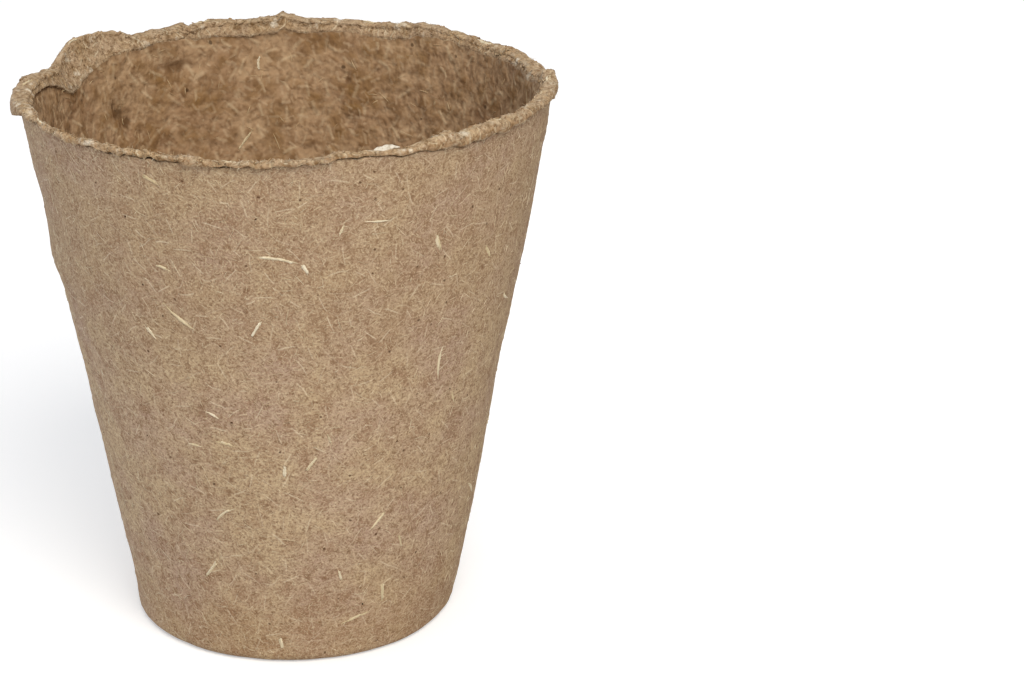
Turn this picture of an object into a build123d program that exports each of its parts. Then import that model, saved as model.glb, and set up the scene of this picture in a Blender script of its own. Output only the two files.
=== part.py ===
from build123d import *
import os
import random
from math import atan2, cos, degrees, exp, radians, sin

# Round moulded peat pot for seedlings, in millimetres.
# The origin is the centre of the foot on the ground, +Z is up and -Y is the front.
# Bearings are degrees about +Z, counted from +X.

# The moulded pot. Its upper band stands a little steeper than the wall below the shoulder.
POT_HEIGHT = 83.7
LIP_DIAMETER = 80.0
UPPER_BAND = 22.0
UPPER_FLARE = 3.3
FOOT_DIAMETER = 49.0
WALL = 1.7
FLOOR = 2.0
FOOT_ROUNDING = 2.0
INNER_ROUNDING = 4.0

# The raised middle of the floor and the drain hole in it
FOOT_RING = 7.0
FLOOR_RISE = 1.2
FLOOR_RAMP = 2.5
DRAIN_DIAMETER = 8.0

# The deckle lip, a flattened bead that stands out past the wall
LIP_DEPTH = 1.1
LIP_OVERHANG = 0.7
LIP_SOFTENING = 0.35

# How the lip rises and falls round the rim
RIM_TILT = 0.4
RIM_TILT_BEARING = 310.0
RIM_WAVE = 0.35
RIM_WAVE_BEARING = 85.0
RIM_WAVES = 3
FLAP_RISE = 2.1
FLAP_LENGTH = 17.5
FLAP_BEARING = 142.0
RIM_FIT = 0.01

# Straw splinters and bark crumbs bedded in the faces
SLIVER_LENGTH = 5.0
SLIVER_WIDTH = 0.55
SLIVER_THICKNESS = 0.5
SLIVER_SPACING = 1.2
FLECK_SIZE = 0.9
FLECK_THICKNESS = 0.45
BURIED_SHARE = 0.65

# The white chip of paper pulp on the front of the lip
CHIP_LENGTH = 4.2
CHIP_WIDTH = 1.5
CHIP_THICKNESS = 0.5
CHIP_BEARING = 291.0
CHIP_LEAN = 24.0

OVERRUN = 3.0

LIP_RADIUS = LIP_DIAMETER / 2
RIM_RADIUS = LIP_RADIUS - LIP_OVERHANG
SHOULDER_RADIUS = RIM_RADIUS - UPPER_FLARE
SHOULDER_HEIGHT = POT_HEIGHT - UPPER_BAND
FOOT_RADIUS = FOOT_DIAMETER / 2
LIP_INNER_RADIUS = RIM_RADIUS - WALL
RING_INNER_RADIUS = FOOT_RADIUS - FOOT_RING
RISE_RADIUS = RING_INNER_RADIUS - FLOOR_RAMP
DRAIN_RADIUS = DRAIN_DIAMETER / 2
SLIVER_BURY = SLIVER_THICKNESS * BURIED_SHARE
FLECK_BURY = FLECK_THICKNESS * BURIED_SHARE
CHIP_BURY = CHIP_THICKNESS * BURIED_SHARE

# Outer splinters: bearing, share of the pot's height, share of the splinter length, tilt in degrees
OUTER_SLIVER_SHARES = [
    (241, 0.79, 0.45, -13),
    (267, 0.82, 1.25, -10),
    (262, 0.69, 0.60, 61),
    (241, 0.95, 0.55, -24),
    (244, 0.70, 1.35, -38),
    (235, 0.66, 0.48, -45),
    (273, 0.80, 0.40, -60),
    (289, 0.88, 0.80, -3),
    (304, 0.82, 0.75, -71),
    (321, 0.77, 0.50, -55),
    (281, 0.87, 0.40, 69),
    (252, 0.46, 0.66, -12),
    (249, 0.31, 0.95, 41),
    (242, 0.19, 0.80, 55),
    (264, 0.045, 0.50, -76),
    (249, 0.515, 0.42, -26),
    (267, 0.41, 0.42, -88),
    (243, 0.45, 0.42, -4),
    (294, 0.29, 0.74, 52),
    (289, 0.088, 0.95, 19),
    (303, 0.23, 0.58, -72),
    (283, 0.185, 0.45, -72),
    (279, 0.47, 0.42, -69),
    (316, 0.50, 0.48, -67),
    (309, 0.58, 1.10, -89),
    (274, 0.425, 0.60, 57),
    (298, 0.13, 0.66, -85),
]

# Outer crumbs: bearing and share of the pot's height
OUTER_FLECK_SHARES = [
    (288, 0.785),
    (298, 0.445),
    (235, 0.752),
    (253, 0.655),
    (211, 0.895),
    (226, 0.925),
    (233, 0.875),
    (263, 0.895),
    (254, 0.505),
    (247, 0.375),
    (227, 0.445),
    (266, 0.45),
    (237, 0.22),
    (301, 0.345),
    (314, 0.52),
    (291, 0.115),
]

# The outline of a splinter and of a crumb, in shares of its length and width
SPLINTER_SHARES = [(-0.5, 0.1), (-0.3, 0.5), (0.38, 0.36), (0.5, -0.1), (0.25, -0.5), (-0.42, -0.32)]
CRUMB_SHARES = [(-0.5, 0.05), (-0.12, 0.46), (0.42, 0.3), (0.48, -0.22), (-0.1, -0.44)]

# Where the scattered bits lie, as shares of the height, and how long they are
BACK_BEARINGS = (335, 560)
OUTER_BAND_SHARES = (0.08, 0.92)
INNER_BAND_SHARES = (0.14, 0.92)
SCATTER_LENGTH_SHARES = (0.4, 1.0)
RIM_LENGTH_SHARES = (0.4, 0.7)

# How many bits are scattered, besides the ones placed by hand
OUTER_SLIVERS = 21
OUTER_FLECKS = 14
INNER_SLIVERS = 20
INNER_FLECKS = 14
RIM_SLIVERS = 10
BASE_SLIVERS = 8
TRIES = 4000


def outer_radius(z):
    """Radius of the outer face at a height."""
    if z < SHOULDER_HEIGHT:
        return FOOT_RADIUS + (SHOULDER_RADIUS - FOOT_RADIUS) * z / SHOULDER_HEIGHT
    climb = (z - SHOULDER_HEIGHT) / (POT_HEIGHT - SHOULDER_HEIGHT)
    return SHOULDER_RADIUS + (RIM_RADIUS - SHOULDER_RADIUS) * climb


def wall_lean(z):
    """Angle of the wall from upright at a height, in degrees."""
    if z < SHOULDER_HEIGHT:
        return degrees(atan2(SHOULDER_RADIUS - FOOT_RADIUS, SHOULDER_HEIGHT))
    return degrees(atan2(RIM_RADIUS - SHOULDER_RADIUS, POT_HEIGHT - SHOULDER_HEIGHT))


def facing(bearing):
    """A bearing as a unit step in plan, held in a complex number."""
    return complex(cos(radians(bearing)), sin(radians(bearing)))


def rim_height(x, y):
    """Height of the lip's top over a place in plan."""
    spot = complex(x, y) / LIP_RADIUS
    tilt = RIM_TILT * (spot * facing(-RIM_TILT_BEARING)).real
    waves = RIM_WAVE * ((spot * facing(-RIM_WAVE_BEARING)) ** RIM_WAVES).real
    away = abs(spot - facing(FLAP_BEARING)) * LIP_RADIUS / (FLAP_LENGTH / 2)
    return POT_HEIGHT + tilt + waves + FLAP_RISE * exp(-(away**4))


def rim_face(drop):
    """The wavy sheet through the lip's top, moved down by a drop."""
    reach = LIP_RADIUS + OVERRUN
    steps = 20
    line = [reach * (2 * i / steps - 1) for i in range(steps + 1)]
    points = [[Vector(x, y, rim_height(x, y) - drop) for y in line] for x in line]
    return Face.make_surface_from_array_of_points(points, tol=RIM_FIT)


def above_rim():
    """All the space over the lip."""
    return extrude(rim_face(0), FLAP_RISE + 2 * OVERRUN, dir=(0, 0, 1))


def below_lip():
    """All the space under the lip's lower edge, down past the lip ring."""
    return extrude(rim_face(LIP_DEPTH), FLAP_RISE + 2 * OVERRUN, dir=(0, 0, -1))


def wall_and_floor():
    """The pot's wall and floor, turned about the axis, with the wall left taller than the lip."""
    top = POT_HEIGHT + FLAP_RISE + OVERRUN
    outline = [
        (DRAIN_RADIUS, FLOOR_RISE),
        (RISE_RADIUS, FLOOR_RISE),
        (RING_INNER_RADIUS, 0),
        (FOOT_RADIUS, 0),
        (SHOULDER_RADIUS, SHOULDER_HEIGHT),
        (outer_radius(top), top),
        (outer_radius(top) - WALL, top),
        (SHOULDER_RADIUS - WALL, SHOULDER_HEIGHT),
        (outer_radius(FLOOR) - WALL, FLOOR),
        (RING_INNER_RADIUS, FLOOR),
        (RISE_RADIUS, FLOOR + FLOOR_RISE),
        (DRAIN_RADIUS, FLOOR + FLOOR_RISE),
    ]
    section = Face(Wire.make_polygon([Vector(r, 0, z) for r, z in outline], close=True))
    foot = nearest_vertex(section, FOOT_RADIUS, 0)
    section = section.fillet_2d(min(FOOT_ROUNDING, FOOT_RING / 2), [foot])
    corner = nearest_vertex(section, outer_radius(FLOOR) - WALL, FLOOR)
    section = section.fillet_2d(min(INNER_ROUNDING, FOOT_RING - WALL), [corner])
    return revolve(section, Axis.Z)


def nearest_vertex(section, radius, height):
    """The section's corner that lies nearest to a radius and a height."""
    spot = Vector(radius, 0, height)
    return min(section.vertices(), key=lambda corner: (Vector(*corner) - spot).length)


def lip_ring():
    """The lip before its top is cut: a ring with a wavy underside, rooted in the middle of the wall."""
    low = POT_HEIGHT - LIP_DEPTH - OVERRUN
    tall = LIP_DEPTH + FLAP_RISE + 2 * OVERRUN
    root = RIM_RADIUS - WALL / 2
    ring = Solid.make_cylinder(LIP_RADIUS, tall) - Solid.make_cylinder(root, tall)
    return Pos(0, 0, low) * ring - below_lip()


def soften_lip(body):
    """Round the lip's top edges."""
    high = POT_HEIGHT - LIP_DEPTH / 2
    edges = [edge for edge in body.edges() if edge.center().Z > high and edge.length > LIP_RADIUS]
    return body.fillet(min(LIP_SOFTENING, LIP_DEPTH / 3), edges)


def blank_pot():
    """The moulded pot before the pockets of the bedded bits are cut."""
    body = wall_and_floor() + lip_ring() - above_rim()
    return soften_lip(body.solid())


def wall_place(bearing, z, inset, tilt, sink):
    """The plane of a bit on the wall, its Z square to the face. An inset is measured inwards."""
    side = -1 if inset else 1
    lean = radians(wall_lean(z))
    out = radians(bearing)
    normal = Vector(cos(out) * cos(lean), sin(out) * cos(lean), -sin(lean)) * side
    radius = outer_radius(z) - inset
    spot = Vector(radius * cos(out), radius * sin(out), z)
    level = Vector(-sin(out), cos(out), 0)
    along = level.rotate(Axis((0, 0, 0), normal), tilt * side)
    return Plane(origin=spot - normal * sink, x_dir=along, z_dir=normal)


def bit(place, outline_shares, length, width, thickness):
    """A thin bit with a ragged outline, standing on its place."""
    corners = [Vector(length * a, width * b) for a, b in outline_shares]
    flat = place.from_local_coords(Face(Wire.make_polygon(corners, close=True)))
    return Solid.extrude(flat, place.z_dir * thickness)


def splinter(place, length):
    return bit(place, SPLINTER_SHARES, length, SLIVER_WIDTH, SLIVER_THICKNESS)


def crumb(place, size):
    return bit(place, CRUMB_SHARES, size, size, FLECK_THICKNESS)


class Scatter:
    """Draws places for bits, each clear of the ones before it."""

    def __init__(self, seed):
        self.draw = random.Random(seed)
        self.taken = []

    def claim(self, spot, reach):
        """Take a spot if a bit of this reach fits there."""
        for other, other_reach in self.taken:
            if (spot - other).length < reach + other_reach + SLIVER_SPACING:
                return False
        self.taken.append((spot, reach))
        return True

    def on_wall(self, count, bearings, band_shares, inset, sink, reach):
        """Places on one face of the wall, with the length share of each."""
        places = []
        for _ in range(TRIES):
            bearing = self.draw.uniform(*bearings)
            z = POT_HEIGHT * self.draw.uniform(*band_shares)
            tilt = self.draw.uniform(-90, 90)
            share = self.draw.uniform(*SCATTER_LENGTH_SHARES)
            place = wall_place(bearing, z, inset, tilt, sink)
            if len(places) < count and self.claim(place.origin, reach * share / 2):
                places.append((place, share))
        return places

    def round_axis(self, count):
        """Bearings spread evenly about the axis, each shifted by up to a quarter of its step."""
        step = 360 / count
        return [step * (turn + self.draw.uniform(-0.25, 0.25)) for turn in range(count)]


def outer_slivers(scatter):
    """The splinters of the outer face: the ones at the front by hand, the rest scattered."""
    solids = []
    for bearing, height_share, length_share, tilt in OUTER_SLIVER_SHARES:
        place = wall_place(bearing, POT_HEIGHT * height_share, 0, tilt, SLIVER_BURY)
        scatter.claim(place.origin, SLIVER_LENGTH * length_share / 2)
        solids.append(splinter(place, SLIVER_LENGTH * length_share))
    spread = scatter.on_wall(OUTER_SLIVERS, BACK_BEARINGS, OUTER_BAND_SHARES, 0, SLIVER_BURY, SLIVER_LENGTH)
    return solids + [splinter(place, SLIVER_LENGTH * share) for place, share in spread]


def outer_flecks(scatter):
    """The dark crumbs of the outer face."""
    solids = []
    for bearing, height_share in OUTER_FLECK_SHARES:
        place = wall_place(bearing, POT_HEIGHT * height_share, 0, bearing, FLECK_BURY)
        scatter.claim(place.origin, FLECK_SIZE / 2)
        solids.append(crumb(place, FLECK_SIZE))
    spread = scatter.on_wall(OUTER_FLECKS, BACK_BEARINGS, OUTER_BAND_SHARES, 0, FLECK_BURY, FLECK_SIZE)
    return solids + [crumb(place, FLECK_SIZE * share) for place, share in spread]


def inner_slivers(scatter):
    """The splinters of the inner face."""
    spread = scatter.on_wall(INNER_SLIVERS, (0, 360), INNER_BAND_SHARES, WALL, SLIVER_BURY, SLIVER_LENGTH)
    return [splinter(place, SLIVER_LENGTH * share) for place, share in spread]


def inner_flecks(scatter):
    """The dark crumbs of the inner face."""
    spread = scatter.on_wall(INNER_FLECKS, (0, 360), INNER_BAND_SHARES, WALL, FLECK_BURY, FLECK_SIZE)
    return [crumb(place, FLECK_SIZE * share) for place, share in spread]


def lip_point(bearing, radius):
    """A point on the lip's top."""
    x = radius * cos(radians(bearing))
    y = radius * sin(radians(bearing))
    return Vector(x, y, rim_height(x, y))


def lip_place(bearing, radius, turn, sink, lean=0):
    """The plane of a bit on the lip's top. It follows the lip's slope and leans in towards the axis."""
    spot = lip_point(bearing, radius)
    course = (lip_point(bearing + 1, radius) - lip_point(bearing - 1, radius)).normalized()
    upright = Vector(spot.X, spot.Y, 0).cross(course).normalized()
    normal = upright.rotate(Axis((0, 0, 0), course), -lean)
    along = course.rotate(Axis((0, 0, 0), normal), turn)
    return Plane(origin=spot - normal * sink, x_dir=along, z_dir=normal)


def rim_slivers(scatter):
    """Splinters along the lip, clear of the chip."""
    middle = (LIP_RADIUS + LIP_INNER_RADIUS) / 2
    scatter.claim(lip_point(CHIP_BEARING, middle), CHIP_LENGTH)
    solids = []
    for bearing in scatter.round_axis(RIM_SLIVERS):
        length = SLIVER_LENGTH * scatter.draw.uniform(*RIM_LENGTH_SHARES)
        place = lip_place(bearing, middle, scatter.draw.uniform(-16, 16), SLIVER_BURY)
        if scatter.claim(place.origin, length / 2):
            solids.append(splinter(place, length))
    return solids


def rim_chip():
    """The white chip, bedded in the lip's inner edge."""
    place = lip_place(CHIP_BEARING, LIP_INNER_RADIUS + CHIP_WIDTH / 2, 0, CHIP_BURY, CHIP_LEAN)
    return [bit(place, SPLINTER_SHARES, CHIP_LENGTH, CHIP_WIDTH, CHIP_THICKNESS)]


def base_slivers(scatter):
    """Splinters in the raised part of the underside."""
    down = Vector(0, 0, -1)
    middle = (DRAIN_RADIUS + RISE_RADIUS) / 2
    solids = []
    for bearing in scatter.round_axis(BASE_SLIVERS):
        length = SLIVER_LENGTH * scatter.draw.uniform(*SCATTER_LENGTH_SHARES)
        spot = Vector(middle, 0, FLOOR_RISE).rotate(Axis.Z, bearing)
        along = Vector(1, 0, 0).rotate(Axis.Z, scatter.draw.uniform(0, 180))
        if scatter.claim(spot, length / 2):
            solids.append(splinter(Plane(origin=spot - down * SLIVER_BURY, x_dir=along, z_dir=down), length))
    return solids


def write(name, solids):
    """Write one sub-part's solids under its name."""
    shape = solids[0] if len(solids) == 1 else Compound(children=list(solids))
    shape.label = name
    export_step(shape, os.path.join("parts", name + ".step"))


def main():
    os.makedirs("parts", exist_ok=True)
    outside = Scatter(5)
    inside = Scatter(9)
    edge = Scatter(3)
    below = Scatter(7)
    groups = {
        "outer_straw_slivers": outer_slivers(outside),
        "outer_bark_flecks": outer_flecks(outside),
        "inner_straw_slivers": inner_slivers(inside),
        "inner_bark_flecks": inner_flecks(inside),
        "rim_straw_slivers": rim_slivers(edge),
        "rim_paper_chip": rim_chip(),
        "base_straw_slivers": base_slivers(below),
    }
    pockets = [solid for solids in groups.values() for solid in solids]
    body = blank_pot().cut(*pockets)
    write("pot_body", list(body.solids()))
    for name, solids in groups.items():
        write(name, solids)


if __name__ == "__main__":
    main()
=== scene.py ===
"""Dresses a round moulded peat pot: felted pulp walls, a ragged deckle lip, straw, bark and loose fibres.

Sizes are in millimetres until a mesh is made, and bearings are degrees about +Z, counted from +X.
"""

from __future__ import annotations

import logging
import math
from collections.abc import Callable
from dataclasses import dataclass
from enum import Enum
from functools import reduce

import bpy
import numpy as np
from bpy.types import Material, Node, NodeSocket, NodeTree, Object
from mathutils import Matrix, Vector
from mathutils.bvhtree import BVHTree


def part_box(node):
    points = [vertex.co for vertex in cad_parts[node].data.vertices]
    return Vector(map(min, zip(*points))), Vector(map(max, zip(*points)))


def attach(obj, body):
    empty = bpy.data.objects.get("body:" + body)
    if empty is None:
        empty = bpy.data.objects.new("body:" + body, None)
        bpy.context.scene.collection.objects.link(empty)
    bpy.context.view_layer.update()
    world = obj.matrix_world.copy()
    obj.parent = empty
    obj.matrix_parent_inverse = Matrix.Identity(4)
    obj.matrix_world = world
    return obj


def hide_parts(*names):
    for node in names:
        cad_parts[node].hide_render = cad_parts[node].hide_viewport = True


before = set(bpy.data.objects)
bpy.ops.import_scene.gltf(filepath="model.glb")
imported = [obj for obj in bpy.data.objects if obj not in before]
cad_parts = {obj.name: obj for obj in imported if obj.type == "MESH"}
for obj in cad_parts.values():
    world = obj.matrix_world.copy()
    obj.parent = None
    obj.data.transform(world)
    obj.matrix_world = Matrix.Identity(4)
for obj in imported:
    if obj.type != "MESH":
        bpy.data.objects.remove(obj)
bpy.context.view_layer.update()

MM = 0.001
BODY = "root"
LOG = logging.getLogger("peat_pot")

# Sockets of the Mix node when it mixes colours
MIX_FACTOR, MIX_UNDER, MIX_OVER, MIX_RESULT = 0, 6, 7, 2


class Zone(Enum):
    """The faces of the pot that loose fibres lie on."""

    OUTER = "outer"
    INNER = "inner"


class Slot(Enum):
    """The record's material slots."""

    PULP = "moulded_pulp"
    STRAW = "straw"
    BARK = "bark"
    PAPER = "paper_chip"


def linear(hex_colour: str) -> tuple[float, float, float, float]:
    """Turn an sRGB hex colour into linear light.

    Args:
        hex_colour: Six hex digits, such as "b0987c".

    Returns:
        Linear red, green and blue, and an alpha of one.
    """
    parts = [int(hex_colour[i : i + 2], 16) / 255 for i in (0, 2, 4)]
    red, green, blue = [p / 12.92 if p <= 0.04045 else ((p + 0.055) / 1.055) ** 2.4 for p in parts]
    return red, green, blue, 1.0


def add_node(tree: NodeTree, kind: str, inputs: dict | None = None, **settings: object) -> Node:
    """Add a node to a tree, set it up and link it.

    Args:
        tree: The node tree.
        kind: The node's type.
        inputs: For each input's name or number, a value, or the socket that feeds it.
        settings: Properties of the node.

    Returns:
        The new node.
    """
    node = tree.nodes.new(kind)
    for name, value in settings.items():
        setattr(node, name, value)
    for key, value in (inputs or {}).items():
        if isinstance(value, NodeSocket):
            tree.links.new(value, node.inputs[key])
        else:
            node.inputs[key].default_value = value
    return node


def maths(tree: NodeTree, operation: str, *values: object) -> NodeSocket:
    """The result of a Math node."""
    return add_node(tree, "ShaderNodeMath", dict(enumerate(values)), operation=operation).outputs[0]


def product(tree: NodeTree, first: object, *others: object) -> NodeSocket:
    """Values multiplied one after the other."""
    return reduce(lambda so_far, factor: maths(tree, "MULTIPLY", so_far, factor), others, first)


def vectors(tree: NodeTree, operation: str, *values: object) -> NodeSocket:
    """The vector that a Vector Math node gives."""
    return add_node(tree, "ShaderNodeVectorMath", dict(enumerate(values)), operation=operation).outputs[0]


def scaled(tree: NodeTree, vector: object, factor: object) -> NodeSocket:
    """A vector times a factor."""
    return add_node(tree, "ShaderNodeVectorMath", {0: vector, "Scale": factor}, operation="SCALE").outputs[0]


def along(tree: NodeTree, vector: object, way: object) -> NodeSocket:
    """How far a vector reaches along a direction."""
    pair = {0: vector, 1: way}
    return add_node(tree, "ShaderNodeVectorMath", pair, operation="DOT_PRODUCT").outputs["Value"]


def ramp(tree: NodeTree, value: NodeSocket, low: object, high: object, start: object = 0.0, end: object = 1.0,
         kind: str = "SMOOTHSTEP") -> NodeSocket:
    """A value that goes from a start to an end while another one goes from low to high.

    Args:
        tree: The node tree.
        value: The value that is read.
        low: Where the ramp starts.
        high: Where it ends.
        start: The result at the low end.
        end: The result at the high end.
        kind: How it goes: SMOOTHSTEP or LINEAR.

    Returns:
        The result, held at its ends.
    """
    limits = {"Value": value, "From Min": low, "From Max": high, "To Min": start, "To Max": end}
    return add_node(tree, "ShaderNodeMapRange", limits, interpolation_type=kind).outputs[0]


def noise(tree: NodeTree, place: NodeSocket, size: float, detail: float, output: str = "Fac",
          **more: float) -> NodeSocket:
    """Cloudy noise.

    Args:
        tree: The node tree.
        place: The place in millimetres.
        size: How wide its clouds are, in millimetres.
        detail: How many finer layers it has.
        output: Its grey value (Fac) or its three values (Color).
        more: Other inputs of the node.

    Returns:
        The noise.
    """
    given = {"Vector": place, "Scale": 1 / size, "Detail": detail, **more}
    return add_node(tree, "ShaderNodeTexNoise", given).outputs[output]


def attribute(tree: NodeTree, name: str, output: str = "Fac") -> NodeSocket:
    """A value that the mesh keeps at its points."""
    return add_node(tree, "ShaderNodeAttribute", attribute_name=name).outputs[output]


def blend(tree: NodeTree, mask: object, under: object, over: object) -> NodeSocket:
    """Lay one colour over another.

    Args:
        tree: The node tree.
        mask: How much of the upper colour shows.
        under: The lower colour, as hex digits or a socket.
        over: The upper colour, as hex digits or a socket.

    Returns:
        The mixed colour.
    """
    under, over = [linear(colour) if isinstance(colour, str) else colour for colour in (under, over)]
    mixed = {MIX_FACTOR: mask, MIX_UNDER: under, MIX_OVER: over}
    return add_node(tree, "ShaderNodeMix", mixed, data_type="RGBA").outputs[MIX_RESULT]


def new_material(name: str) -> tuple[Material, NodeTree]:
    """Start an empty material.

    Args:
        name: The material's name.

    Returns:
        The material and its node tree.
    """
    material = bpy.data.materials.new(name)
    material.use_nodes = True
    material.node_tree.nodes.clear()
    return material, material.node_tree


def unit(vectors: np.ndarray) -> np.ndarray:
    """Vectors along the last axis, scaled to a length of one."""
    return vectors / np.maximum(np.linalg.norm(vectors, axis=-1, keepdims=True), 1e-9)


def polar(radius: np.ndarray, bearing: np.ndarray, height: np.ndarray) -> np.ndarray:
    """Points from radius, bearing and height, with the three coordinates on the last axis."""
    turn = np.radians(bearing)
    return np.stack(np.broadcast_arrays(radius * np.cos(turn), radius * np.sin(turn), height), axis=-1)


def skewed(
    draw: np.random.Generator, limits: tuple[float, float], skew: tuple[float, float], size: object
) -> np.ndarray:
    """Random sizes, most of them nearer to the lower limit.

    Args:
        draw: The random draw.
        limits: The least and the greatest size.
        skew: The two powers of the beta distribution.
        size: The shape of the result.

    Returns:
        The sizes.
    """
    low, high = limits
    return low * (high / low) ** draw.beta(*skew, size)


def turn_from(bearing: np.ndarray, centre: float) -> np.ndarray:
    """Degrees from a centre bearing, between -180 and 180."""
    return (bearing - centre + 180) % 360 - 180


def bearing_of(spots: np.ndarray) -> np.ndarray:
    """The bearing of each point, in degrees."""
    return np.degrees(np.arctan2(spots[:, 1], spots[:, 0]))


def read_rows(items: object, field: str, width: int, kind: type = np.float32) -> np.ndarray:
    """Read a field of all of a mesh's points or edges.

    Args:
        items: The points or edges.
        field: The field's name.
        width: How many values one of them has.
        kind: The values' type.

    Returns:
        One row of values for each.
    """
    raw = np.zeros(len(items) * width, kind)
    items.foreach_get(field, raw)
    return raw.reshape(-1, width)


class Relief:
    """Smooth seeded noise in space, about -1 to 1, which lumps and hollows are drawn with."""

    CORNERS = np.array(list(np.ndindex(2, 2, 2)))
    STRIDES = np.array([73856093, 19349663, 83492791])
    TABLE = 4096

    def __init__(self, seed: int) -> None:
        """Draw the noise's slopes.

        Args:
            seed: The random seed.
        """
        draw = np.random.default_rng(seed)
        self.slopes = unit(draw.normal(size=(self.TABLE, 3)))
        self.shift = draw.uniform(0, self.TABLE, 3)

    def at(self, spots: np.ndarray, size: float) -> np.ndarray:
        """The noise at some points.

        Args:
            spots: Points in millimetres, coordinates on the last axis.
            size: The width of a lump.

        Returns:
            One value for each point.
        """
        scaled = spots / size + self.shift
        cell = np.floor(scaled).astype(np.int64)
        part = scaled - cell
        fade = part**3 * (part * (part * 6 - 15) + 10)
        total = np.zeros(spots.shape[:-1])
        for corner in self.CORNERS:
            mixed = (cell + corner) * self.STRIDES
            index = (mixed[..., 0] ^ mixed[..., 1] ^ mixed[..., 2]) % self.TABLE
            weight = np.prod(np.where(corner, fade, 1 - fade), axis=-1)
            total += weight * np.sum(self.slopes[index] * (part - corner), axis=-1)
        return 1.6 * total


@dataclass(frozen=True)
class Ripple:
    """One scale of unevenness: its lumps' width and rise, and whether they are clots with sharp gaps."""

    size: float
    rise: float
    clotted: bool = False


@dataclass(frozen=True)
class Swell:
    """A single bulge in a face, or a dent where its rise is below zero."""

    bearing: float
    height: float
    reach_round: float
    reach_up: float
    rise: float

    def at(self, bearing: np.ndarray, height: np.ndarray, radius: np.ndarray) -> np.ndarray:
        """How far the face stands out there.

        Args:
            bearing: Bearings round the pot.
            height: Heights above the ground.
            radius: The face's radius.

        Returns:
            One value for each place, in millimetres.
        """
        across = np.radians(turn_from(bearing, self.bearing)) * radius / self.reach_round
        upward = (height - self.height) / self.reach_up
        return self.rise * np.exp(-(across**2) - upward**2)


@dataclass(frozen=True)
class LipMark:
    """A stretch where the lip leaves its even run, faded out over a spread in degrees."""

    bearing: float
    spread: float
    rise: float = 0.0
    overhang: float = 0.0
    depth: float = 0.0
    narrowing: float = 0.0
    undercut: float = 0.0
    fold: float = 0.0
    ledge: float = 0.0
    groove: float = 0.0
    skin: float = 0.0
    calm: float = 0.0


def lumps(relief: Relief, spots: np.ndarray, ripples: tuple[Ripple, ...]) -> np.ndarray:
    """Unevenness of several scales added up, in millimetres.

    Args:
        relief: The noise.
        spots: Points in millimetres.
        ripples: The scales.

    Returns:
        One value for each point.
    """
    total = np.zeros(spots.shape[:-1])
    for ripple in ripples:
        waves = relief.at(spots, ripple.size)
        total += ripple.rise * (2.4 * np.abs(waves) - 0.7 if ripple.clotted else waves)
    return total


def spline_rows(control: np.ndarray, rows: int) -> np.ndarray:
    """Run a smooth curve near a list of control points.

    Args:
        control: Control points, the first axis along the curve.
        rows: How many points the curve gets.

    Returns:
        The curve's points, the first axis along the curve.
    """
    spans = len(control) - 3
    place = np.linspace(0, spans, rows)
    start = np.minimum(place.astype(int), spans - 1)
    part = (place - start).reshape(-1, *[1] * (control.ndim - 1))
    weights = (
        (1 - part) ** 3,
        3 * part**3 - 6 * part**2 + 4,
        -3 * part**3 + 3 * part**2 + 3 * part + 1,
        part**3,
    )
    return sum(weight * control[start + i] for i, weight in enumerate(weights)) / 6


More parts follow.
